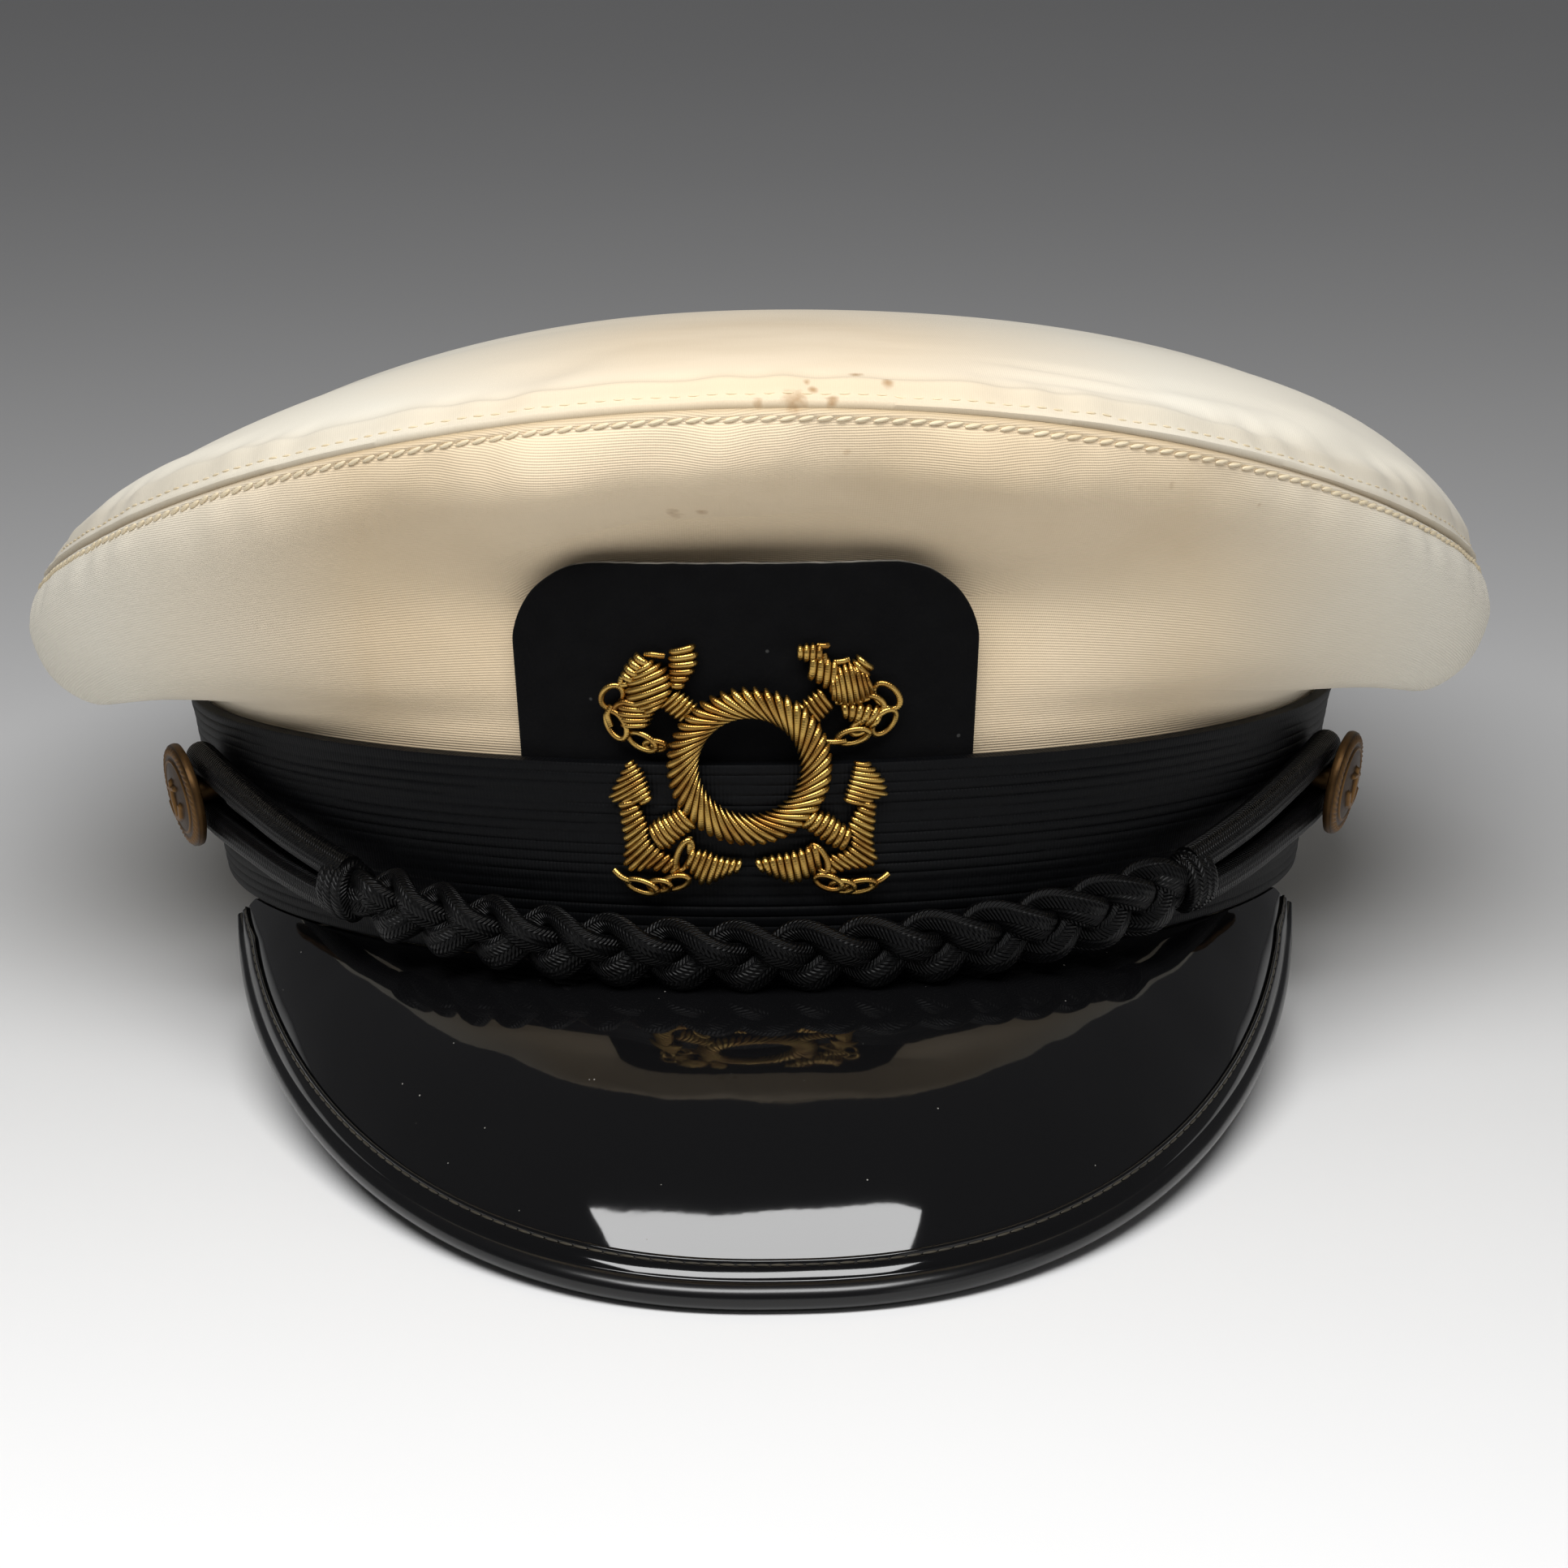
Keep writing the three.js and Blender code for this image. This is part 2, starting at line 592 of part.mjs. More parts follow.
const hat = new THREE.Group();
hat.name = "captain_hat";

function addPiece(name, geometry, slot) {
  const material = new THREE.MeshStandardMaterial({ color: COLOURS[slot], name: slot });
  const piece = new THREE.Mesh(geometry, material);
  piece.name = name;
  hat.add(piece);
}

addPiece("crown_side", makeCrownPanel(0, SEAM_ROW, 0), "cotton");
addPiece("crown_top", makeCrownPanel(SEAM_ROW, LAST_ROW, GAP + 0.1), "cotton");
addPiece("hat_band", makeBand(), "ribbed_band");
addPiece("badge_patch", makePatch(), "felt");
addPiece("emblem_ring", makeEmblemRing(), "bullion");
addPiece("emblem_head_left", makeBadgePiece(HEAD_OUTLINE, 1, BADGE.headThick, true), "bullion");
addPiece("emblem_head_right", makeBadgePiece(HEAD_OUTLINE, -1, BADGE.headThick, true), "bullion");
addPiece("emblem_fluke_left", makeBadgePiece(FLUKE_OUTLINE, 1, BADGE.thick, false), "bullion");
addPiece("emblem_fluke_right", makeBadgePiece(FLUKE_OUTLINE, -1, BADGE.thick, false), "bullion");
[1, 2, 3].forEach((number) => {
  const strand = makeTube(new PlaitStrand(number), STRAND.radius, 6, 52);
  addPiece(`braid_strand_${number}`, strand, "black_cord");
});
addPiece("braid_knot_left", makeKnot(-1), "black_cord");
addPiece("braid_knot_right", makeKnot(1), "black_cord");
addPiece("cord_loop_left", makeCordLoop(-1), "black_cord");
addPiece("cord_loop_right", makeCordLoop(1), "black_cord");
addPiece("button_left", makeButton(-1), "brass");
addPiece("button_right", makeButton(1), "brass");
addPiece("peak", makePeak(), "patent");
addPiece("peak_binding", makeBinding(), "patent_edge");

// Tip the hat back to its rest and stand it on the ground about the middle of its bounds.
hat.rotation.x = -REST_TILT * (Math.PI / 180);
hat.updateMatrixWorld(true);
const bounds = new THREE.Box3().setFromObject(hat, true);
hat.position.set(
  -(bounds.min.x + bounds.max.x) / 2,
  -(bounds.min.y + bounds.max.y) / 2,
  -bounds.min.z,
);

export default hat;
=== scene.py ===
"""A captain's hat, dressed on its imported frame.

Tables give millimetres on the upright hat, with the hem plane at z = 0 and the front towards -Y.
settle() tips those points back to the hat's rest and turns them to metres.
"""
import math

import bmesh
import bpy
import numpy as np
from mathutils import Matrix, Vector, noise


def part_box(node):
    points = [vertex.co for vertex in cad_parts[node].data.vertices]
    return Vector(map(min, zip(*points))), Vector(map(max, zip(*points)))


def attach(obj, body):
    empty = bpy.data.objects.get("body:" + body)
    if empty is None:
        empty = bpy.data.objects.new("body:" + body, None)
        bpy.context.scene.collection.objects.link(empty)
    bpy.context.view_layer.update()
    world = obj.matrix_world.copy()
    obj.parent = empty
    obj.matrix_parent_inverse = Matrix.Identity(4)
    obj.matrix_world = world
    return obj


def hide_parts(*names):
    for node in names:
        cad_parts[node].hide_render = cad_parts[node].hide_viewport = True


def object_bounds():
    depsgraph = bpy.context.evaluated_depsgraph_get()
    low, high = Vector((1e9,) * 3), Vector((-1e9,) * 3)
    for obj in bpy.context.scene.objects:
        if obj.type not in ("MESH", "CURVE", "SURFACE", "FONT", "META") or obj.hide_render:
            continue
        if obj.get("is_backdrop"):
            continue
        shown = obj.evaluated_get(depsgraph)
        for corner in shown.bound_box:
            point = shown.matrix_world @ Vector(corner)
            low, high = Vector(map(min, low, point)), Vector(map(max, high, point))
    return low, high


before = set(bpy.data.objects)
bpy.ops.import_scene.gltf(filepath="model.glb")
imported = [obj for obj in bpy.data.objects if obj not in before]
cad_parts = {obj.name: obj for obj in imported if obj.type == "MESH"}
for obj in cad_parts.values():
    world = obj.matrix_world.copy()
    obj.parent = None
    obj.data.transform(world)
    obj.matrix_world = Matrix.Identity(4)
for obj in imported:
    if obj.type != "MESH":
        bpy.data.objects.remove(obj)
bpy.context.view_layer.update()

# The camera stands in front of the hat, a little above its crown, and looks down on the peak.
# Its place and lens were matched to the photograph's outline of the hat.
camera_lens = bpy.data.cameras.new("camera")
camera_lens.sensor_width = 36.0
camera_lens.lens = 108.15
camera_lens.clip_start = 0.05
camera = bpy.data.objects.new("camera", camera_lens)
camera.location = (-0.0085, -0.6927, 0.2435)
camera.rotation_euler = [math.radians(turn) for turn in (72.70, 0.31, -1.075)]
bpy.context.scene.collection.objects.link(camera)
bpy.context.scene.camera = camera


# The hat band is the hat's base: a flaring oval wall covered in black mohair braid.
# The braid is woven in level ribs, and its top edge stands in front of crown and badge patch.
MM = 0.001
HEM = {"side": 82.6, "front": 100.0, "back": 99.0}
BAND_TOP = {"side": 27.5, "front": 28.5, "back": 27.0}
BAND_FLARE = 0.2
BAND_WALL = 1.6
BAND_COLUMNS = 300
FALL_OFF = 1.4
REST_TIP = math.radians(8.6)
CAD_COLUMNS = 50
# Ribs: how many, points across each, depth, and how unevenly they were woven and lie.
RIBS = {"count": 20, "rows": 6, "depth": 0.13, "uneven": 1.1, "sway": 0.12, "waves_round": 3, "waves_up": 9}


def blend(angle, front, side, back):
    """A value that changes round the hat from its front to its sides and its back."""
    along = np.cos(angle)
    end = np.where(along > 0, front, back)
    return side + (end - side) * np.abs(along) ** FALL_OFF


def oval(angle, side, front, back, z):
    """Points of an oval round the hat, at angles measured from the front."""
    along = np.cos(angle)
    reach = np.where(along > 0, front, back)
    return np.stack(np.broadcast_arrays(side * np.sin(angle), -reach * along, z), -1)


def unit(vectors):
    """Vectors brought to a length of one."""
    return vectors / np.maximum(np.linalg.norm(vectors, axis=-1, keepdims=True), 1e-12)


def band_normal(angle, z):
    """The way straight out of the band's face."""
    grow = BAND_FLARE * z
    reach = np.where(np.cos(angle) > 0, HEM["front"], HEM["back"]) + grow
    flat = [np.sin(angle) / (HEM["side"] + grow), -np.cos(angle) / reach]
    level = unit(np.stack(np.broadcast_arrays(*flat, np.zeros_like(reach)), -1))
    return unit(level - np.array([0, 0, BAND_FLARE]))


def band_point(angle, z, out=0.0):
    """A point on the band's face, or standing out from it."""
    angle, z = np.broadcast_arrays(np.asarray(angle, float), np.asarray(z, float))
    grow = BAND_FLARE * z
    point = oval(angle, HEM["side"] + grow, HEM["front"] + grow, HEM["back"] + grow, z)
    return point + band_normal(angle, z) * np.asarray(out)[..., None]


def tip(points):
    """Points leaned back as the hat rests, in metres."""
    x, y, z = np.moveaxis(np.asarray(points, float), -1, 0)
    cos, sin = math.cos(REST_TIP), math.sin(REST_TIP)
    return np.stack([x, y * cos + z * sin, z * cos - y * sin], -1) * MM


# The tipped hat stands where the frame has its band: by the back of the hem and of the top edge.
# The frame's band has no corner at the very back, so its rearmost ones lie half a column away.
rear = math.pi * (1 - 1 / CAD_COLUMNS)
STAND = np.array([
    0.0,
    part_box("hat_band")[1].y - tip(band_point(rear, blend(rear, **BAND_TOP)))[1],
    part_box("hat_band")[0].z - tip(band_point(rear, 0))[2],
])


def settle(points):
    """Points of the upright hat, moved to where the resting hat has them."""
    return tip(points) + STAND


def lengths(points, axis):
    """The distance run along lines of points."""
    steps = np.linalg.norm(np.diff(points, axis=axis), axis=-1)
    start = np.zeros_like(np.take(steps, [0], axis=axis))
    return np.cumsum(np.concatenate([start, steps], axis=axis), axis=axis)


def skin(columns, around, ring=False):
    """Faces through loops of points. A ring joins its last loop to its first, and others get ends."""
    i, j = np.mgrid[0:columns if ring else columns - 1, 0:around]
    ahead, above = (i + 1) % columns, (j + 1) % around
    quads = np.stack([i * around + j, ahead * around + j, ahead * around + above, i * around + above], -1)
    ends = [list(range(around)), list(range((columns - 1) * around, columns * around))[::-1]]
    return quads.reshape(-1, 4), [] if ring else ends


def loft(name, loops, ring=False, uv=None):
    """A closed mesh through loops of points, with its faces outwards and a UV map in metres."""
    grid = np.concatenate([loops, loops[:1]]) if ring else loops
    grid = np.concatenate([grid, grid[:, :1]], axis=1)
    if uv is None:
        along = np.broadcast_to(lengths(grid, 0).mean(1)[:, None], grid.shape[:2])
        uv = np.stack([along, lengths(grid, 1)], -1) * MM
    corners = np.stack([uv[:-1, :-1], uv[1:, :-1], uv[1:, 1:], uv[:-1, 1:]], 2)
    quads, ends = skin(*loops.shape[:2], ring)
    points = settle(loops).reshape(-1, 3)
    a, b, c, d = (points[quads[:, k]] for k in range(4))
    inside_out = (np.cross(b - a, d - a) + np.cross(d - c, b - c)).ravel() @ (a + c).ravel() < 0
    mesh = bpy.data.meshes.new(name)
    mesh.from_pydata(points.tolist(), [], quads.tolist() + ends)
    flat = np.zeros((len(mesh.loops), 2), np.float32)
    flat[:corners.size // 2] = corners.reshape(-1, 2)
    mesh.uv_layers.new(name="UVMap").data.foreach_set("uv", flat.ravel())
    if inside_out:
        mesh.flip_normals()
    return mesh


def show(name, mesh, material, slot, *nodes, crease=40):
    """Put a finished mesh in the scene, on the hat, in place of its plain solids."""
    mesh.materials.clear()
    mesh.materials.append(material)
    mesh.shade_smooth()
    mesh.set_sharp_from_angle(angle=math.radians(crease))
    piece = bpy.data.objects.new(name, mesh)
    bpy.context.scene.collection.objects.link(piece)
    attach(piece, "root")
    if nodes:
        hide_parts(*nodes)
    return piece


def tint(code):
    """An sRGB hex colour as linear values with alpha."""
    parts = [int(code[k:k + 2], 16) / 255 for k in (1, 3, 5)]
    return [p / 12.92 if p <= 0.04045 else ((p + 0.055) / 1.055) ** 2.4 for p in parts] + [1.0]


def add(tree, kind, inputs=None, outputs=None, **settings):
    """Add a node with its settings, fill or link its inputs, and link its outputs onwards."""
    node = tree.nodes.new(kind)
    for key, value in settings.items():
        setattr(node, key, value)
    for key, value in (inputs or {}).items():
        if isinstance(value, bpy.types.NodeSocket):
            tree.links.new(value, node.inputs[key])
        else:
            node.inputs[key].default_value = value
    for key, socket in (outputs or {}).items():
        tree.links.new(node.outputs[key], socket)
    return node


def finish_of(name, **constants):
    """A material with its tree, its surface shader and the place on the hat that patterns read."""
    material = bpy.data.materials.new(name)
    material.use_nodes = True
    tree = material.node_tree
    surface = tree.nodes["Principled BSDF"]
    for key, value in constants.items():
        surface.inputs[key.replace("_", " ")].default_value = value
    return material, tree, surface, add(tree, "ShaderNodeTexCoord").outputs["Object"]


def sines(tree, coordinate, pitch_mm):
    """A ripple from -1 to 1 with a pitch in millimetres along a coordinate in metres."""
    turn = add(tree, "ShaderNodeMath", {0: coordinate, 1: 2000 * math.pi / pitch_mm}, operation="MULTIPLY")
    return add(tree, "ShaderNodeMath", {0: turn.outputs[0]}, operation="SINE").outputs[0]


def total(tree, *weighted):
    """Sum of outputs, each with its weight."""
    sum_so_far = 0.0
    for output, weight in weighted:
        node = add(tree, "ShaderNodeMath", {0: output, 1: weight, 2: sum_so_far}, operation="MULTIPLY_ADD")
        sum_so_far = node.outputs[0]
    return sum_so_far


# Black mohair braid: dull and dark, so its ribs show only as faint lines where they catch the light.
# Weft threads cross each rib about twice in a millimetre.
# Here and further on, a pattern's scale is 1000 over the width of its grain in millimetres.
mohair, tree, surface, here = finish_of("black mohair braid", Roughness=0.55, Specular_IOR_Level=0.12)
place = add(tree, "ShaderNodeSeparateXYZ", {0: add(tree, "ShaderNodeUVMap").outputs[0]})
fuzz = add(tree, "ShaderNodeTexNoise", {"Vector": here, "Scale": 1000 / 1.11, "Detail": 3.0}).outputs[0]
add(tree, "ShaderNodeMix", {0: fuzz, 6: tint("#020203"), 7: tint("#060709")},
    {2: surface.inputs["Base Color"]}, data_type="RGBA")
height = total(tree, (sines(tree, place.outputs["X"], 0.55), 0.25), (fuzz, 1.0))
add(tree, "ShaderNodeBump", {"Height": height, "Distance": 0.06 * MM}, {0: surface.inputs["Normal"]})

angles = np.arange(BAND_COLUMNS) / BAND_COLUMNS * 2 * math.pi
top_edge = blend(angles, **BAND_TOP)
rise = np.linspace(0, 1, RIBS["count"] * RIBS["rows"] + 1)
across_rib = (rise * RIBS["count"]) % 1.0
rib = np.sqrt(np.clip(1 - (2 * across_rib - 1) ** 2, 0, 1)) * RIBS["depth"] - 0.5 * RIBS["depth"]
rib[[0, -1]] = -0.5 * RIBS["depth"]
round_waves, up_waves = RIBS["waves_round"], RIBS["waves_up"]
waver = np.array([
    [noise.noise(Vector((round_waves * math.cos(a), round_waves * math.sin(a), up_waves * r))) for r in rise]
    for a in angles])
woven = rib * (1 + RIBS["uneven"] * waver) + RIBS["sway"] * waver
outer = band_point(angles[:, None], top_edge[:, None] * rise, woven)
inner = band_point(angles[:, None], top_edge[:, None] * np.linspace(1, 0, 5), -BAND_WALL)
band_mesh = loft("hat_band_braid", np.concatenate([outer, inner], 1), ring=True)
hat_band = show("hat_band_braid", band_mesh, mohair, "ribbed_band", "hat_band")


# The crown's side panel is cream-white ribbed cotton, cut wide and sewn to the top panel.
# It stands upright at the front, puffs out and sags over the band at the sides and back.
CLOTH = 1.4
CROWN_COLUMNS = 1080
# Each row: the outer face's reach and height at the front, the sides and the back.
SIDE_PANEL = np.array([
    (100.4, 21.0, 84.6, 20.0, 101.0, 20.0),
    (101.8, 28.8, 86.1, 27.9, 102.5, 27.4),
    (102.8, 33.0, 89.8, 29.2, 105.0, 29.2),
    (103.6, 39.0, 95.8, 26.0, 111.5, 28.4),
    (104.4, 46.0, 102.4, 24.0, 118.0, 29.5),
    (106.4, 54.0, 109.0, 27.6, 123.5, 34.0),
    (112.5, 62.5, 112.4, 34.4, 126.0, 41.0),
    (120.0, 71.0, 111.6, 38.8, 125.0, 48.0),
    (123.6, 77.5, 109.4, 42.0, 121.5, 54.0),
])
SEAM_ROW = len(SIDE_PANEL) - 1
# The top panel's arch, which the side panel meets at the seam.
TOP_PEAK = {"y": -8.0, "z": 83.4}
TOP_ROUNDING = 0.632
TOP_SKEW = 0.112
TOP_ROLL = {"rise": 3.2, "width": 0.02}
TOP_EDGE = 0.036
# The seam: its groove, the folds and stitch dimples beside it, and how far it holds the cloth flat.
SEAM = {"groove": 0.45, "groove_width": 0.4, "fold_at": 0.9, "fold_width": 0.5, "dimple_width": 0.6,
        "dimple_least": 0.4, "held": 2.0}
LOWER_STITCH = {
    "row": 1.45, "pitch": 2.45, "length": 2.35, "thread": 0.3, "slant": 14, "fold": 0.25, "dimple": 0.2}
UPPER_STITCH = {
    "row": 2.2, "pitch": 2.45, "length": 1.5, "thread": 0.15, "slant": 0, "fold": 0.45, "dimple": 0.18}
# Puckers that the stitches draw: height, distance from the seam, and the waves that make them uneven.
PUCKER = {"height": 0.16, "at": 5.0, "half": 3.5, "count": 67, "drift": 1.3, "drift_count": 19,
          "slow": 0.7, "slow_count": 28, "slow_start": 2.0}
# Puffs of the front under the seam: angle from the front, half width in degrees, height.
PUFFS = [(0, 42, 1.3), (-14.5, 9, 2.0), (-3, 4, 0.5), (17, 8, 1.1)]
PUFF_DROP = {"middle": 10.5, "half": 7.5}
# Soft dents of the side panel: angle from the front, row, half width in degrees, in rows, depth.
SIDE_DENTS = [
    (-2, 5.15, 17, 0.9, 3.4), (-16, 7.0, 4, 0.6, -0.7), (-3.5, 7.1, 2.5, 0.5, -0.5), (15, 6.9, 4, 0.7, -0.7),
    (-9, 6.5, 4, 0.8, 0.6), (4.5, 6.5, 4, 0.8, 0.6), (-25, 6.1, 6, 1.0, 0.9), (21, 5.4, 6, 1.2, 0.7),
    (33, 6.4, 7, 1.0, 0.5), (44, 5.6, 8, 1.5, -0.6), (-40, 6.6, 8, 1.2, -0.6), (-58, 5.6, 10, 1.4, 0.9),
    (62, 5.4, 9, 1.2, 0.8), (78, 6.0, 9, 1.4, 0.4), (-80, 6.2, 9, 1.4, 0.4), (105, 5.6, 9, 1.4, 1.1),
    (128, 5.2, 10, 1.4, -0.9), (150, 6.0, 9, 1.4, 1.2), (174, 5.6, 9, 1.5, -0.9), (-104, 5.4, 9, 1.4, 1.1),
    (-130, 6.0, 9, 1.4, -1.0), (-154, 5.4, 9, 1.4, 1.1), (-32, 2.1, 17, 0.7, 0.9), (34, 2.1, 16, 0.7, 0.8),
]
# Painted shade on the cloth: how strong it is in the seam and on the strip above it, where, and how wide.
SEAM_SHADE = {"seam": 0.6, "seam_width": 0.55, "strip": 0.3, "strip_at": 3.5, "strip_width": 3.5}
# Rust spots: angle from the front, way in on the top panel or row on the side panel, size.
TOP_STAINS = [(1.8, 0.004, 1.9), (4.2, 0.004, 1.1), (6.2, 0.046, 1.1), (8.2, 0.025, 1.1), (3.0, 0.015, 0.8),
              (-0.8, 0.003, 0.9), (2.6, 0.024, 0.6)]
SIDE_STAINS = [(-6.5, 6.07, 1.1), (-6.2, 5.94, 1.3), (-5.7, 5.8, 1.2), (-4.5, 6.02, 1.1), (26, 6.91, 0.8),
               (27.4, 6.96, 0.7), (28.5, 7.02, 0.8), (36.2, 6.92, 0.6), (5.2, 7.14, 0.8), (-0.3, 7.3, 0.7)]


def between(rows, t):
    """Values on a smooth curve through the rows of a table."""
    last = len(rows) - 1
    row = np.clip(np.floor(t).astype(int), 0, last - 1)
    f = (t - row)[..., None]
    p0, p1, p2, p3 = (rows[np.clip(row + step, 0, last)] for step in (-1, 0, 1, 2))
    return p1 + 0.5 * f * (p2 - p0 + f * (2 * p0 - 5 * p1 + 4 * p2 - p3 + f * (3 * (p1 - p2) + p3 - p0)))


def side_face(angle, t):
    """The side panel's outer face, by angle and row."""
    angle, t = np.broadcast_arrays(np.asarray(angle, float), np.asarray(t, float))
    front, front_z, side, side_z, back, back_z = np.moveaxis(between(SIDE_PANEL, t), -1, 0)
    return oval(angle, side, front, back, blend(angle, front_z, side_z, back_z))


def top_face(angle, inward):
    """The top panel's outer face, by angle and way in from the seam."""
    angle, inward = np.broadcast_arrays(np.asarray(angle, float), np.asarray(inward, float))
    edge = side_face(angle, np.full(angle.shape, float(SEAM_ROW)))
    swell = np.sin(np.pi / 2 * inward ** (TOP_ROUNDING - TOP_SKEW * np.sin(angle)))
    roll = TOP_ROLL["rise"] * np.clip(np.cos(angle), 0, 1) * (1 - np.exp(-inward / TOP_ROLL["width"]))
    x = edge[..., 0] * (1 - inward)
    y = edge[..., 1] + (TOP_PEAK["y"] - edge[..., 1]) * inward
    z = edge[..., 2] + (TOP_PEAK["z"] - edge[..., 2]) * swell + roll * (1 - inward) ** 2
    return np.stack([x, y, z], -1)


def grid_normals(points):
    """The way out of a face that runs all round the hat."""
    round_it = np.roll(points, -1, 0) - np.roll(points, 1, 0)
    return unit(np.cross(round_it, np.gradient(points, axis=1)))


def bell(distance):
    """A soft hump of height one."""
    return np.exp(-distance ** 2)


def degrees_from(middle):
    """How far each column of the crown lies from an angle."""
    return (np.degrees(turn) - middle + 180) % 360 - 180


def seam_relief(from_seam, stitch):
    """The seam's groove, the fold beside it, the dimple of each stitch and the puckers they draw."""
    groove = -SEAM["groove"] * bell(from_seam / SEAM["groove_width"])
    fold = stitch["fold"] * bell((from_seam - SEAM["fold_at"]) / SEAM["fold_width"])
    pulled = 0.5 + 0.5 * np.cos(stitch_count * lap)
    beside = bell((from_seam - stitch["row"]) / SEAM["dimple_width"])
    drawn = SEAM["dimple_least"] + (1 - SEAM["dimple_least"]) * pulled
    dimple = -stitch["dimple"] * beside * drawn
    ripple = np.sin(PUCKER["count"] * lap + PUCKER["drift"] * np.sin(PUCKER["drift_count"] * lap))
    ripple = ripple + PUCKER["slow"] * np.sin(PUCKER["slow_count"] * lap + PUCKER["slow_start"])
    pucker = PUCKER["height"] * ripple * bell((from_seam - PUCKER["at"]) / PUCKER["half"])
    return groove + fold + dimple + pucker


# Rows and steps crowd together at the seam, where the stitches pull the cloth.
turn = np.arange(CROWN_COLUMNS)[:, None] / CROWN_COLUMNS * 2 * np.pi
side_rows = np.concatenate([np.linspace(0, 6.9, 36), np.linspace(7.0, SEAM_ROW, 27)])
top_steps = np.concatenate([
    [0], np.linspace(0.0004, TOP_EDGE, 21), TOP_EDGE + (1 - TOP_EDGE) * np.linspace(0.03, 1, 36) ** 1.5])
side_outer = side_face(turn, side_rows)
top_outer = top_face(turn, top_steps)
side_normals = grid_normals(side_outer)
top_normals = grid_normals(top_outer)
top_normals[:, -1] = (0, 0, 1)
seam_normals = unit(side_normals[:, -1] + top_normals[:, 0])
side_normals[:, -1] = seam_normals
top_normals[:, 0] = seam_normals
along_seam = lengths(np.concatenate([side_outer[:, -1], side_outer[:1, -1]]), 0)
lap = 2 * np.pi * along_seam[:-1, None] / along_seam[-1]
stitch_count = round(along_seam[-1] / LOWER_STITCH["pitch"])

side_drop = lengths(side_outer, 1)
from_seam = side_drop[:, -1:] - side_drop
sway = np.zeros_like(from_seam)
for dent_angle, dent_row, wide, tall, depth in SIDE_DENTS:
    sway -= depth * bell(degrees_from(dent_angle) / wide) * bell((side_rows - dent_row) / tall)
puff = sum(height * bell(degrees_from(puff_angle) / wide) for puff_angle, wide, height in PUFFS)
sway += puff * bell((from_seam - PUFF_DROP["middle"]) / PUFF_DROP["half"])
sway *= 1 - bell(from_seam / SEAM["held"])
sway += seam_relief(from_seam, LOWER_STITCH)
side_inner = (side_outer - side_normals * CLOTH)[:, ::-4]
side_outer = side_outer + side_normals * sway[..., None]
side_loops = np.concatenate([side_outer, side_inner], 1)

# Ribbed cotton: cream, matt, with fine level cords 0.4 mm apart and softer threads across them.
# Age has yellowed its middle, and rust has spotted the front near the seam.
# Painted shade darkens and warms the side panel against the top, and darkens the seam and the strip above it.
# Painted side light makes the crown's far ends paler.
cotton, tree, surface, here = finish_of(
    "ribbed cotton", Roughness=0.85, Sheen_Weight=0.12, Sheen_Roughness=0.6, Specular_IOR_Level=0.25)
place = add(tree, "ShaderNodeSeparateXYZ", {0: add(tree, "ShaderNodeUVMap").outputs[0]})
on_side = add(tree, "ShaderNodeAttribute", attribute_name="ribbed").outputs["Fac"]
ageing = add(tree, "ShaderNodeTexNoise", {"Vector": here, "Scale": 1000 / 45.5, "Detail": 4.0}).outputs[0]
yellow = add(tree, "ShaderNodeMapRange", {"Value": ageing, "From Min": 0.35, "From Max": 0.7})
# Age yellows the cloth at random; painted shade on the side panel makes it darker and warmer than the top.
age_and_side_shade = total(tree, (yellow.outputs[0], 0.6), (on_side, 0.5))
cream = add(tree, "ShaderNodeMix", {0: age_and_side_shade, 6: tint("#F8E5C7"), 7: tint("#DCC6A4")}, data_type="RGBA")
# The yellowed part is a long oval in front of the hat's middle, and the rest is painted paler, as side light:
# how far in front, how its length counts against its width, and where the yellow starts and stops fading.
AGED_OVAL_LIT_ENDS = {"forward": 50, "length": 0.45, "full": 28, "gone": 66}
across = add(tree, "ShaderNodeVectorMath", {
    0: here, 1: (1, AGED_OVAL_LIT_ENDS["length"], 0), 2: (0, AGED_OVAL_LIT_ENDS["length"] * AGED_OVAL_LIT_ENDS["forward"] * MM, 0)},
    operation="MULTIPLY_ADD").outputs[0]
across = add(tree, "ShaderNodeVectorMath", {0: across}, operation="LENGTH").outputs["Value"]
# On the side panel the oval reaches 40 mm further, so only its far ends get the painted light.
across = total(tree, (across, 1.0), (on_side, -40 * MM), (ageing, 20 * MM))
side_lit = add(tree, "ShaderNodeMapRange", {
    "Value": across, "From Min": AGED_OVAL_LIT_ENDS["full"] * MM, "From Max": AGED_OVAL_LIT_ENDS["gone"] * MM})
# Painted light: outside the oval the cloth is mixed to a paler cream.
cream = add(tree, "ShaderNodeMix", {
    0: side_lit.outputs[0], 6: cream.outputs[2], 7: tint("#F3ECDB")}, data_type="RGBA")
# Each rust spot fades out from its middle, with an edge that a blotchy noise roughens.
spots = 0.0
blotch = add(tree, "ShaderNodeTexNoise", {"Vector": here, "Scale": 1000 / 1.43, "Detail": 2.0}).outputs[0]
marks = [(top_face(math.radians(turned), inward), size) for turned, inward, size in TOP_STAINS]
marks += [(side_face(math.radians(turned), row), size) for turned, row, size in SIDE_STAINS]
for spot, size in marks:
    apart = add(tree, "ShaderNodeVectorMath", {0: here, 1: settle(spot).tolist()}, operation="DISTANCE")
    rough_edge = total(tree, (apart.outputs["Value"], 1000 / size), (blotch, 1.3))
    mark = add(tree, "ShaderNodeMapRange", {
        "Value": rough_edge, "From Min": 1.7, "From Max": 0.6, "To Min": 0.0, "To Max": 0.8})
    spots = add(tree, "ShaderNodeMath", {0: mark.outputs[0], 1: spots}, operation="MAXIMUM").outputs[0]
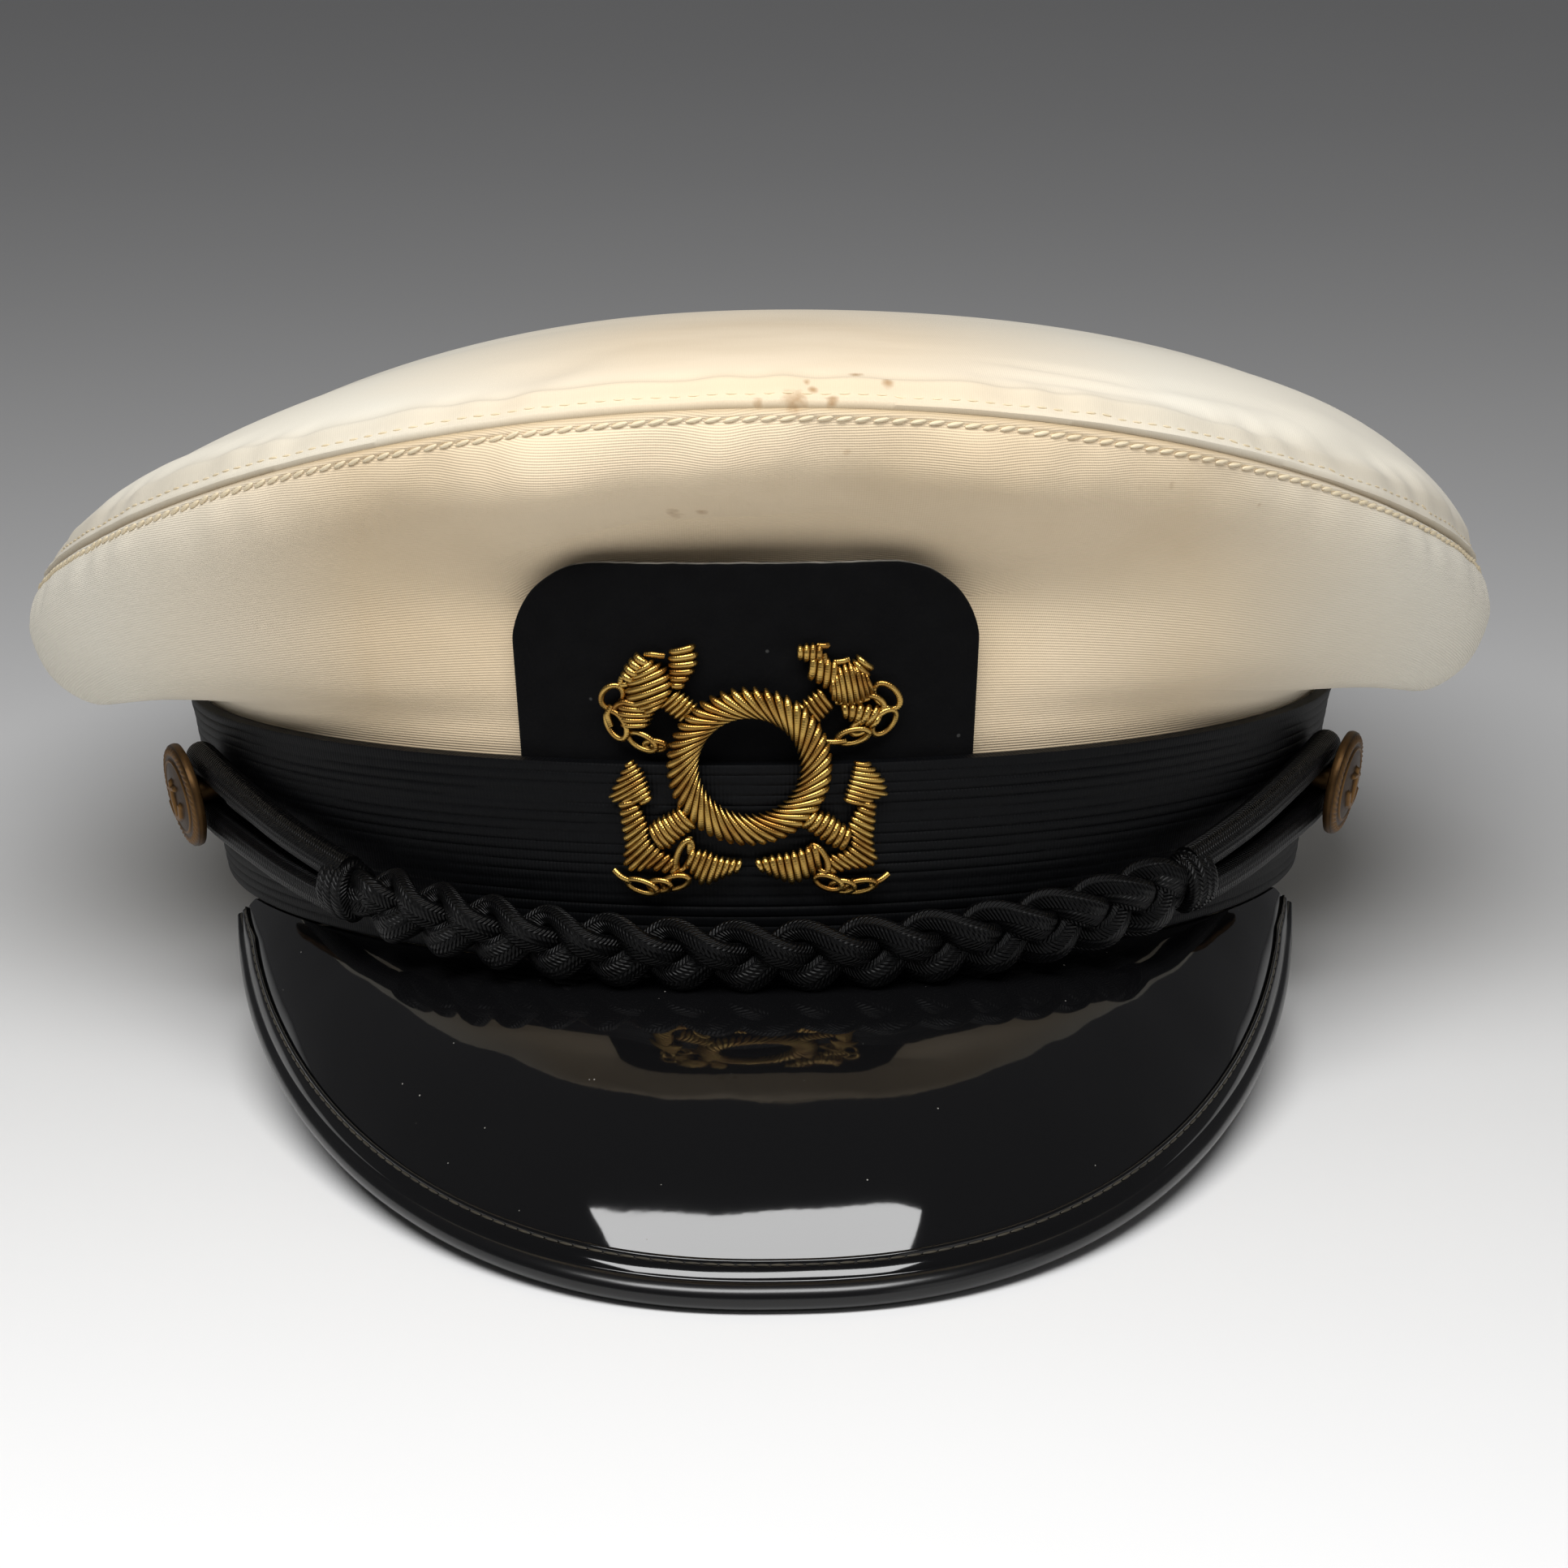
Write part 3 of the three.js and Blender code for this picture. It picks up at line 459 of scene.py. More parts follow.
# Painted shade: the seam and the strip above it are mixed towards a darker brown.
shade_fac = add(tree, "ShaderNodeAttribute", attribute_name="painted_shade").outputs["Fac"]
painted_shade = add(tree, "ShaderNodeMix", {0: shade_fac, 6: cream.outputs[2], 7: tint("#8C7448")}, data_type="RGBA")
add(tree, "ShaderNodeMix", {0: spots, 6: painted_shade.outputs[2], 7: tint("#96682A")},
    {2: surface.inputs["Base Color"]}, data_type="RGBA")
cords = sines(tree, place.outputs["Y"], 0.38)
cords = add(tree, "ShaderNodeMath", {0: cords, 1: on_side}, operation="MULTIPLY").outputs[0]
threads = sines(tree, place.outputs["X"], 0.3)
slub = add(tree, "ShaderNodeTexNoise", {"Vector": here, "Scale": 1000 / 0.667, "Detail": 2.0}).outputs[0]
height = total(tree, (cords, 0.5), (threads, 0.12), (slub, 0.5))
add(tree, "ShaderNodeBump", {"Height": height, "Distance": 0.05 * MM}, {0: surface.inputs["Normal"]})


def keep(mesh, name, values):
    """Store a value for each point of a mesh, for its material to read."""
    mesh.attributes.new(name, "FLOAT", "POINT").data.foreach_set("value", np.asarray(values, float).ravel())


side_mesh = loft("crown_side_cotton", side_loops, ring=True)
keep(side_mesh, "ribbed", np.ones(side_loops.shape[:2]))
# Painted shade in the side panel's seam.
shade_share = np.zeros(side_loops.shape[:2])
shade_share[:, :len(side_rows)] = SEAM_SHADE["seam"] * bell(from_seam / SEAM_SHADE["seam_width"])
keep(side_mesh, "painted_shade", shade_share)
crown_side = show("crown_side_cotton", side_mesh, cotton, "cotton", "crown_side")


# The crown's top panel is an oval of the same cotton, arched from side to side.
# Its seam with the side panel is pressed flat, and the turned edge under it raises a soft ridge.
TURNED_EDGE = {"at": 4.8, "half": 0.9, "rise": 0.4}
# Creases of the top panel: from angle and way in, to angle and way in, width, height.
TOP_CREASES = [
    (-19, 0.05, -21, 0.38, 6.0, -1.0), (21, 0.19, 31, 0.11, 3.5, -0.7), (31, 0.11, 47, 0.12, 3.5, -0.7),
    (17, 0.085, 35, 0.034, 3.0, -0.8), (35, 0.034, 44, 0.012, 2.5, -0.8), (44, 0.014, 61, 0.034, 2.5, -0.9),
    (46, 0.06, 60, 0.13, 5.0, 1.0), (57, 0.03, 66, 0.012, 2.5, 0.8), (-56, 0.01, -38, 0.016, 2.5, 0.7),
    (40, 0.05, 80, 0.05, 9.0, -1.2), (-70, 0.02, -48, 0.08, 4.0, 0.8), (120, 0.08, 150, 0.3, 6.0, 1.0),
    (-120, 0.10, -150, 0.3, 6.0, -1.0), (180, 0.1, 200, 0.35, 7.0, 0.9),
]
# How far into a half wave each crease starts, so that it fades out softly at its ends.
CREASE_END = 0.12


def near_line(points, start, end):
    """Plan distance of points from a line, and how far along it they lie."""
    start, end = start[:2], end[:2]
    way = end - start
    share = np.clip(((points[..., :2] - start) @ way) / (way @ way), 0, 1)
    return np.linalg.norm(points[..., :2] - start - share[..., None] * way, axis=-1), share


def close_poles(mesh):
    """Merge the points that meet at a pole and drop the faces that vanish there."""
    shape = bmesh.new()
    shape.from_mesh(mesh)
    bmesh.ops.remove_doubles(shape, verts=shape.verts, dist=1e-6)
    loose = [edge for edge in shape.edges if not edge.link_faces]
    bmesh.ops.delete(shape, geom=loose, context="EDGES")
    shape.to_mesh(mesh)
    shape.free()


top_drop = lengths(top_outer, 1)
sway = np.zeros_like(top_drop)
for from_angle, from_step, to_angle, to_step, width, height in TOP_CREASES:
    start = top_face(math.radians(from_angle), from_step)
    end = top_face(math.radians(to_angle), to_step)
    apart, share = near_line(top_outer, start, end)
    fade = np.sin(np.pi * (CREASE_END + (1 - 2 * CREASE_END) * share))
    sway += height * bell(apart / width) * fade
ridge = bell((top_drop - TURNED_EDGE["at"]) / TURNED_EDGE["half"])
sway += TURNED_EDGE["rise"] * ridge * np.clip(np.cos(turn), 0, 1)
sway *= 1 - bell(top_drop / SEAM["held"])
sway += seam_relief(top_drop, UPPER_STITCH)
top_inner = (top_outer - top_normals * CLOTH)[:, ::-3]
top_outer = top_outer + top_normals * sway[..., None]
top_outer[:, -1] = top_outer[:, -1].mean(0)
top_loops = np.concatenate([top_outer, top_inner], 1)
plan = np.concatenate([top_loops, top_loops[:1]])[..., :2]
plan = np.concatenate([plan, plan[:, :1]], axis=1)
top_mesh = loft("crown_top_cotton", top_loops, ring=True, uv=plan * MM)
# Painted shade in the top panel's seam and on the strip above it.
shade_share = np.zeros(top_loops.shape[:2])
strip = SEAM_SHADE["strip"] * bell((top_drop - SEAM_SHADE["strip_at"]) / SEAM_SHADE["strip_width"])
shade_share[:, :len(top_steps)] = SEAM_SHADE["seam"] * bell(top_drop / SEAM_SHADE["seam_width"]) + strip
keep(top_mesh, "painted_shade", shade_share)
close_poles(top_mesh)
crown_top = show("crown_top_cotton", top_mesh, cotton, "cotton", "crown_top")


# The crown's seam is topstitched in cotton thread, with a bold slanting row on the side panel and
# a finer one on the top panel. Each stitch lies in the dimple that it pulls into the cloth.
STITCH_SUNK = 0.35


def tree_of(name, inputs):
    """A geometry tree with a geometry going in and out and named inputs for its sizes."""
    tree = bpy.data.node_groups.new(name, "GeometryNodeTree")
    tree.interface.new_socket("Geometry", in_out="OUTPUT", socket_type="NodeSocketGeometry")
    tree.interface.new_socket("Geometry", in_out="INPUT", socket_type="NodeSocketGeometry")
    for key, kind in inputs.items():
        tree.interface.new_socket(key, in_out="INPUT", socket_type="NodeSocket" + kind)
    return tree, add(tree, "NodeGroupInput").outputs


def end_tree(tree, geometry, material):
    """Close a tree: real meshes, smooth, in their material."""
    real = add(tree, "GeometryNodeRealizeInstances", {0: geometry})
    smooth = add(tree, "GeometryNodeSetShadeSmooth", {0: real.outputs[0]})
    painted = add(tree, "GeometryNodeSetMaterial", {0: smooth.outputs[0], "Material": material})
    add(tree, "NodeGroupOutput", {0: painted.outputs[0]})


def grow(tree, data, **sizes):
    """Run a geometry tree on a curve or mesh and return the result as a plain mesh."""
    holder = bpy.data.objects.new("holder", data)
    bpy.context.scene.collection.objects.link(holder)
    modifier = holder.modifiers.new("tree", "NODES")
    modifier.node_group = tree
    for item in tree.interface.items_tree:
        if item.in_out == "INPUT" and item.name in sizes:
            modifier[item.identifier] = sizes[item.name]
    depsgraph = bpy.context.evaluated_depsgraph_get()
    mesh = bpy.data.meshes.new_from_object(holder.evaluated_get(depsgraph), depsgraph=depsgraph)
    bpy.data.objects.remove(holder)
    return mesh


def paths(name, lines, closed=False, radii=None):
    """Curve data with one straight-stepped spline for each line, and a radius at each point."""
    curve = bpy.data.curves.new(name, "CURVE")
    curve.dimensions = "3D"
    curve.twist_mode = "Z_UP"
    for number, line in enumerate(lines):
        spline = curve.splines.new("POLY")
        spline.points.add(len(line) - 1)
        spline.points.foreach_set("co", np.c_[line, np.ones(len(line))].ravel())
        spline.use_cyclic_u = closed
        if radii is not None:
            spline.points.foreach_set("radius", radii[number])
    return curve


# One stitch after another along a path, each a short rounded thread.
stitch_tree, sizes = tree_of("stitch row", {
    "Pitch": "Float", "Length": "Float", "Thread": "Float", "Slant": "Float", "Material": "Material"})
spaced = add(stitch_tree, "GeometryNodeCurveToPoints", {
    0: sizes["Geometry"], "Length": sizes["Pitch"]}, mode="LENGTH")
bead = add(stitch_tree, "GeometryNodeMeshUVSphere", {"Segments": 8, "Rings": 6, "Radius": 1.0})
half = add(stitch_tree, "ShaderNodeMath", {0: sizes["Length"], 1: 0.5}, operation="MULTIPLY")
stretch = add(stitch_tree, "ShaderNodeCombineXYZ", {
    0: sizes["Thread"], 1: sizes["Thread"], 2: half.outputs[0]})
thread = add(stitch_tree, "GeometryNodeTransform", {0: bead.outputs[0], "Scale": stretch.outputs[0]})
lean = add(stitch_tree, "ShaderNodeCombineXYZ", {0: sizes["Slant"]})
lean = add(stitch_tree, "FunctionNodeEulerToRotation", {0: lean.outputs[0]})
thread = add(stitch_tree, "GeometryNodeTransform", {0: thread.outputs[0], "Rotation": lean.outputs[0]})
laid = add(stitch_tree, "GeometryNodeInstanceOnPoints", {
    0: spaced.outputs["Points"], "Instance": thread.outputs[0], "Rotation": spaced.outputs["Rotation"]})
end_tree(stitch_tree, laid.outputs[0], sizes["Material"])


def sew(name, line, stitch, thread, slot, closed=False):
    """Sew a row of stitches along a line of points on the hat."""
    stitches = grow(
        stitch_tree, paths(name, [settle(line)], closed=closed), Pitch=stitch["pitch"] * MM,
        Length=stitch["length"] * MM, Thread=stitch["thread"] * MM,
        Slant=math.radians(stitch["slant"]), Material=thread)
    show(name, stitches, thread, slot)


# Cotton thread: a shade warmer than the cloth and slightly glossier.
sewing, tree, surface, here = finish_of("cotton thread", Roughness=0.6)
dirt = add(tree, "ShaderNodeTexNoise", {"Vector": here, "Scale": 1000 / 8.33, "Detail": 3.0})
add(tree, "ShaderNodeMix", {0: dirt.outputs[0], 6: tint("#EADCBF"), 7: tint("#D8C6A2")},
    {2: surface.inputs["Base Color"]}, data_type="RGBA")
twist = add(tree, "ShaderNodeTexNoise", {"Vector": here, "Scale": 1000 / 0.4}).outputs[0]
add(tree, "ShaderNodeBump", {"Height": twist, "Distance": 0.03 * MM}, {0: surface.inputs["Normal"]})

for name, stitch, face, normals, reach in (
    ("crown_stitches_lower", LOWER_STITCH, side_outer, side_normals, from_seam),
    ("crown_stitches_upper", UPPER_STITCH, top_outer, top_normals, top_drop),
):
    row = np.abs(reach - stitch["row"]).argmin(1)
    at = np.arange(CROWN_COLUMNS)
    line = face[at, row] + normals[at, row] * stitch["thread"] * STITCH_SUNK
    sew(name, line, stitch, sewing, "cotton", closed=True)


# The badge patch is a tab of thick black felt with rounded top corners.
# Its lower edge is tucked behind the band, and it leans a little off the crown.
FELT = 1.4
GAP = 0.3
PATCH = {"width": 64.6, "shift": -3.4, "tuck": 4.5, "rise": 27.7, "corner": 12.7, "lean": 0.09}
# How the patch sits behind the band: the slant of the band's wall, and a little more room.
BEHIND = {"slant": 1.02, "room": 0.08}
# The cut edge: how round it is, front and rear, and how the shears wavered along it.
EDGE_ROUND = {"radius": 0.55, "rear_share": 0.6}
SNIP = {"depth": 0.12, "per_mm": 0.5, "seed": 1.7}


def lay_on_front(x, y, z):
    """Lay a flat pattern on the front: x runs along the band, y is height, z stands off the face."""
    return band_point(x / (HEM["side"] + BAND_FLARE * y), y, z)


def patch_stand(height):
    """How far the patch's face stands off the band's, by height."""
    behind = (BAND_WALL + GAP) / BEHIND["slant"] + BEHIND["room"]
    above = np.clip(height - BAND_TOP["front"], 0, None)
    return above * PATCH["lean"] - behind


half_width = PATCH["width"] / 2
x = -half_width * np.cos(np.linspace(0, np.pi, 97))
past = np.clip(np.abs(x) - (half_width - PATCH["corner"]), 0, None)
cut = PATCH["corner"] - np.sqrt(np.clip(PATCH["corner"] ** 2 - past ** 2, 0, None))
snip = np.array([noise.noise(Vector((SNIP["per_mm"] * value, SNIP["seed"], 0))) for value in x])
patch_top = BAND_TOP["front"] + PATCH["rise"] - cut + SNIP["depth"] * snip
patch_low = BAND_TOP["front"] - PATCH["tuck"]
level = np.sin(np.linspace(0, np.pi / 2, 40))
heights = patch_low + (patch_top - patch_low)[:, None] * level
x_grid = np.broadcast_to(x[:, None], heights.shape)
inset = np.minimum(patch_top[:, None] - heights, half_width - np.abs(x_grid))
sink = EDGE_ROUND["radius"] * (1 - np.sqrt(1 - np.clip(1 - inset / EDGE_ROUND["radius"], 0, 1) ** 2))
stand = patch_stand(heights)
face = lay_on_front(x_grid + PATCH["shift"], heights, stand - sink)
rear_face = lay_on_front(x_grid + PATCH["shift"], heights, stand - FELT + EDGE_ROUND["rear_share"] * sink)

# Black wool felt: pressed fibres with no weave, so it drinks the light and only its cut edge shows, as a
# painted highlight.
felt, tree, surface, here = finish_of(
    "black wool felt", Roughness=0.95, Sheen_Weight=0.02, Sheen_Roughness=0.5, Specular_IOR_Level=0.08)
fibres = add(tree, "ShaderNodeTexNoise", {"Vector": here, "Scale": 1000 / 0.625, "Detail": 4.0}).outputs[0]
nap = add(tree, "ShaderNodeTexNoise", {"Vector": here, "Scale": 1000 / 3.85, "Detail": 3.0}).outputs[0]
lint = add(tree, "ShaderNodeTexVoronoi", {"Vector": here, "Scale": 1000 / 6.25})
speck = add(tree, "ShaderNodeMapRange", {
    "Value": lint.outputs["Distance"], "From Min": 0.05, "From Max": 0.035, "To Max": 0.35})
shade = add(tree, "ShaderNodeMix", {0: nap, 6: tint("#040405"), 7: tint("#0B0B0C")}, data_type="RGBA")
dusty = add(tree, "ShaderNodeMix", {
    0: speck.outputs[0], 6: shade.outputs[2], 7: tint("#5A5A58")}, data_type="RGBA")
# Painted highlight: the cut edge is mixed to a light grey, broken up by the nap.
edge_highlight = add(tree, "ShaderNodeAttribute", attribute_name="cut").outputs["Fac"]
edge_highlight = add(tree, "ShaderNodeMath", {0: edge_highlight, 1: nap}, operation="MULTIPLY").outputs[0]
add(tree, "ShaderNodeMix", {0: edge_highlight, 6: dusty.outputs[2], 7: tint("#8E8C86")},
    {2: surface.inputs["Base Color"]}, data_type="RGBA")
height = total(tree, (fibres, 0.6), (nap, 0.8))
add(tree, "ShaderNodeBump", {"Height": height, "Distance": 0.18 * MM}, {0: surface.inputs["Normal"]})

patch_loops = np.concatenate([face, rear_face[:, ::-1]], 1)
patch_mesh = loft("badge_patch_felt", patch_loops)
# The rows along the cut edge carry the painted highlight.
edge_highlight_rows = np.zeros(patch_loops.shape[:2])
edge_highlight_rows[:, len(level) - 1:len(level) + 1] = 1
keep(patch_mesh, "cut", edge_highlight_rows)
badge_patch = show("badge_patch_felt", patch_mesh, felt, "felt", "badge_patch")


# The badge is worked by hand in gold bullion: lengths of coiled wire, called purls, are laid side
# by side over padding. A rope ring lies on two crossed anchors, whose cables hang in links.
BADGE = {"shift": -2.85, "height": 28.7, "on_band": 0.55, "on_patch": 0.35}
PURL = {"radius": 0.56, "least": 0.24, "raised": 0.4, "cable": 0.44, "coil": 0.3, "sunk": 0.5}
# How each purl thins towards its ends: the way along it, share of its full radius.
PURL_TAPER = [(0, 0.06, 0.16, 0.84, 0.94, 1), (0.35, 0.85, 1, 1, 0.85, 0.35)]
RING = {"outer": 10.9, "inner": 6.7, "purls": 46, "slant": 0.56, "arch": 1.5}
# Laid fields about the ring's middle, as each side was worked: one rail, the other rail, purls, arch.
FIELDS = {
    "emblem_head_left": [
        ([(-17.6, 8.6), (-18.0, 6.8), (-17.4, 5.2)], [(-12.2, 8.2), (-12.8, 6.6), (-13.4, 5.3)], 5, 1.3),
        ([(-9.2, 10.1), (-7.7, 8.9), (-7.0, 8.2)], [(-11.9, 7.6), (-10.4, 6.4), (-9.4, 5.7)], 5, 0.9),
        ([(-10.5, 15.6), (-10.7, 14.4), (-10.5, 12.6), (-10.3, 11.0)],
         [(-7.1, 16.4), (-6.6, 14.7), (-7.4, 12.6), (-8.6, 11.0)], 6, 1.0),
        ([(-16.8, 12.6), (-16.2, 14.0), (-15.0, 15.2)],
         [(-14.8, 11.3), (-13.6, 12.4), (-12.6, 13.6)], 4, 1.3),
        ([(-12.6, 14.4), (-11.0, 13.6), (-10.1, 11.9), (-10.2, 10.0), (-11.3, 8.5)],
         [(-15.2, 12.7), (-16.4, 11.0), (-16.8, 9.4), (-15.9, 8.0), (-14.0, 7.1)], 8, 1.9),
    ],
    "emblem_head_right": [
        ([(12.7, 8.2), (15.0, 8.0), (17.3, 7.6), (17.6, 6.5)],
         [(12.9, 6.0), (14.2, 5.2), (15.5, 4.9), (16.2, 4.6)], 6, 1.3),
        ([(9.2, 10.2), (7.6, 8.9), (6.7, 8.2)], [(11.2, 7.3), (9.7, 5.6), (8.9, 5.0)], 5, 0.9),
        ([(6.8, 16.4), (8.1, 16.7), (9.4, 16.5)], [(6.8, 14.6), (8.0, 14.0), (9.2, 14.3)], 4, 1.1),
        ([(8.6, 15.0), (10.0, 14.8), (11.4, 14.2)], [(8.2, 11.7), (9.5, 10.9), (11.0, 9.4)], 4, 1.2),
        ([(14.4, 14.8), (13.6, 13.8), (12.9, 13.0)], [(16.4, 13.0), (15.8, 11.6), (14.8, 10.4)], 4, 1.3),
        ([(11.0, 12.4), (11.8, 13.5), (13.0, 14.2), (14.3, 13.9), (15.3, 13.0)],
         [(11.3, 8.6), (12.6, 7.8), (14.0, 7.6), (15.4, 8.4), (16.4, 9.6)], 8, 1.9),
    ],
    "emblem_fluke_left": [
        ([(-17.3, -5.6), (-17.0, -8.9), (-16.7, -11.5), (-17.1, -13.4), (-16.7, -14.8), (-15.1, -14.9),
          (-13.8, -14.4), (-11.5, -14.8), (-10.3, -14.9)],
         [(-15.0, -4.9), (-14.1, -6.7), (-13.5, -8.7), (-13.4, -10.0), (-12.9, -10.7), (-12.1, -11.3),
          (-11.3, -12.1), (-9.9, -12.8), (-9.5, -13.5)], 14, 0.7),
        ([(-16.4, 0.0), (-18.1, -2.8), (-19.1, -5.2), (-17.1, -5.2), (-14.5, -5.2)],
         [(-15.4, 0.6), (-14.2, -0.7), (-13.6, -2.4), (-13.2, -3.4), (-13.0, -4.3)], 9, 0.9),
        ([(-8.3, -14.2), (-6.8, -16.6), (-5.6, -16.6), (-3.2, -15.4), (-1.9, -14.8)],
         [(-7.4, -11.6), (-5.5, -11.8), (-4.3, -12.5), (-2.5, -12.9), (-1.2, -13.0)], 9, 0.9),
        ([(-9.5, -5.7), (-11.0, -6.7), (-12.6, -7.5), (-13.2, -8.3)],
         [(-7.1, -8.5), (-8.9, -9.8), (-10.4, -11.4), (-11.3, -11.5)], 7, 1.3),
    ],
    "emblem_fluke_right": [
        ([(14.8, -5.2), (13.9, -6.6), (13.2, -8.2), (13.4, -10.5), (13.0, -11.7), (11.1, -12.5),
          (10.2, -12.6), (9.9, -13.6)],
         [(16.7, -5.9), (16.7, -8.2), (16.5, -10.9), (17.2, -13.7), (16.2, -14.5), (13.6, -14.6),
          (12.6, -14.8), (11.4, -15.0)], 14, 0.7),
        ([(13.9, 0.3), (13.5, -1.5), (12.9, -3.4), (12.5, -4.7)],
         [(16.1, 0.1), (18.0, -2.2), (18.5, -4.3), (15.6, -5.5)], 9, 0.9),
        ([(1.0, -13.0), (3.0, -12.4), (5.1, -12.1), (7.4, -11.4), (8.5, -10.8)],
         [(1.8, -14.7), (3.8, -15.8), (5.9, -16.6), (8.0, -15.6), (9.2, -14.5)], 9, 0.9),
        ([(8.8, -6.2), (10.7, -6.7), (12.0, -7.9), (13.2, -8.8)],
         [(7.0, -8.4), (8.8, -9.7), (10.6, -11.1), (12.0, -11.6)], 7, 1.3),
    ],
}
# Links of the cables: middle, half length, half width, turn in degrees.
LINKS = {
    "emblem_head_left": [
        (-18.4, 9.1, 1.9, 1.35, 60), (-18.0, 5.1, 2.1, 1.35, -60), (-16.6, 7.4, 1.6, 1.1, 20),
        (-14.5, 2.8, 2.1, 1.15, -25), (-12.7, 2.3, 1.5, 0.8, 0)],
    "emblem_head_right": [
        (18.5, 9.0, 2.1, 1.4, -50), (18.2, 5.3, 2.1, 1.35, 55), (16.4, 8.0, 1.7, 1.2, -20),
        (14.0, 3.4, 2.2, 1.1, 15), (15.2, 4.8, 1.7, 1.0, 35)],
    "emblem_fluke_left": [
        (-14.4, -16.9, 2.1, 0.95, -14), (-12.0, -16.7, 1.5, 0.9, 5), (-9.9, -16.2, 1.9, 1.0, 20),
        (-8.7, -12.4, 2.4, 0.85, 72)],
    "emblem_fluke_right": [
        (14.6, -17.0, 2.1, 0.95, 12), (12.3, -16.9, 1.5, 0.9, -5), (10.4, -16.3, 1.8, 1.0, -20),
        (9.2, -12.9, 2.0, 0.85, -65)],
}
# Single wires that couch the padding and join the links, each a few points.
WIRES = {
    "emblem_head_left": [
        [(-13.7, 15.1), (-12.7, 15.3), (-11.2, 15.0)], [(-17.0, 11.9), (-17.3, 10.8), (-15.4, 11.1)],
        [(-13.2, 2.3), (-10.8, 2.2)], [(-18.6, 7.8), (-19.2, 6.6), (-18.8, 4.9)]],
    "emblem_head_right": [
        [(9.2, 16.4), (10.5, 16.4)], [(11.6, 8.4), (13.4, 8.1), (16.1, 8.8)], [(13.0, 2.7), (10.0, 2.7)],
        [(15.3, 10.2), (16.8, 10.0)], [(11.5, 14.0), (13.2, 14.3)], [(10.0, 15.2), (10.4, 12.7)]],
    "emblem_fluke_left": [[(-18.2, -14.8), (-17.1, -15.7), (-16.0, -16.3)], [(-7.9, -9.8), (-8.0, -12.0)]],
    "emblem_fluke_right": [[(18.5, -15.5), (16.6, -16.7), (16.1, -17.0)], [(13.6, -16.3), (15.5, -16.2)]],
}
# How links and wires ride over what they cross: least or middle height, and how much it changes.
LINK_RISE = {"middle": 0.7, "swing": 0.5, "start": 0.6}
WIRE_RISE = {"ends": 0.5, "hump": 0.3}

# Gold bullion wire: bright metal browned in patches, with its coil showing as fine turns.
# The padding under the purls is painted almost black, as the shade between them.
bullion, tree, surface, here = finish_of("gold bullion wire", Metallic=1.0, Roughness=0.3)
tarnish = add(tree, "ShaderNodeTexNoise", {"Vector": here, "Scale": 1000 / 3.85, "Detail": 2.0})
worn = add(tree, "ShaderNodeMapRange", {"Value": tarnish.outputs[0], "From Min": 0.42, "From Max": 0.68})
shade = add(tree, "ShaderNodeMix", {
    0: worn.outputs[0], 6: tint("#BC9A54"), 7: tint("#966D33")}, data_type="RGBA")
# Painted shade: the padding's colour is almost black, standing in for the dark gaps between purls.
under = add(tree, "ShaderNodeAttribute", attribute_name="padding").outputs["Fac"]
add(tree, "ShaderNodeMix", {0: under, 6: shade.outputs[2], 7: tint("#140B02")},
    {2: surface.inputs["Base Color"]}, data_type="RGBA")
coil = sines(tree, add(tree, "ShaderNodeAttribute", attribute_name="along").outputs["Fac"], PURL["coil"])
add(tree, "ShaderNodeBump", {"Height": coil, "Distance": 0.008 * MM}, {0: surface.inputs["Normal"]})

# One coiled wire along each path, as thick at each point as the path's own radius there.
wire_tree, sizes = tree_of("bullion wire", {"Material": "Material"})
run = add(wire_tree, "GeometryNodeSplineParameter").outputs["Length"]
run = add(wire_tree, "ShaderNodeMath", {0: run, 1: MM}, operation="MULTIPLY").outputs[0]
line = add(wire_tree, "GeometryNodeStoreNamedAttribute", {
    0: sizes["Geometry"], "Name": "along", "Value": run}, domain="POINT")
thick = add(wire_tree, "GeometryNodeInputRadius").outputs[0]
wire = add(wire_tree, "GeometryNodeCurvePrimitiveCircle", {"Resolution": 8, "Radius": 1.0})
line = add(wire_tree, "GeometryNodeCurveToMesh", {
    "Curve": line.outputs[0], "Profile Curve": wire.outputs[0], "Scale": thick, "Fill Caps": True})
end_tree(wire_tree, line.outputs[0], sizes["Material"])


def along_rail(rail, count):
    """Points spaced evenly along a rail."""
    rail = np.array(rail, float)
    share = lengths(rail, 0)
    wanted = np.linspace(0, share[-1], count)
    return np.stack([np.interp(wanted, share, rail[:, k]) for k in range(2)], -1)


def laid_field(starts, ends, arch):
    """Lines and radii of the purls of one field, and the padding that fills it under them."""
    share = np.linspace(0, 1, 13)
    flat = starts[:, None] + (ends - starts)[:, None] * share[:, None]
    hump = np.broadcast_to(arch * (4 * share * (1 - share)) ** 0.6, flat.shape[:2])
    purls = np.concatenate([flat, hump[..., None] + PURL["raised"] * PURL["radius"]], -1)
    step, way = np.gradient(flat, axis=0), unit(ends - starts)[:, None]
    spacing = np.abs(step[..., 0] * way[..., 1] - step[..., 1] * way[..., 0])
    radii = np.clip(0.5 * spacing, PURL["least"], PURL["radius"]) * np.interp(share, *PURL_TAPER)
    padding = np.concatenate([flat, np.maximum(0.02, hump - PURL["sunk"])[..., None]], -1)
    return purls, radii, padding[:, 1:-1]


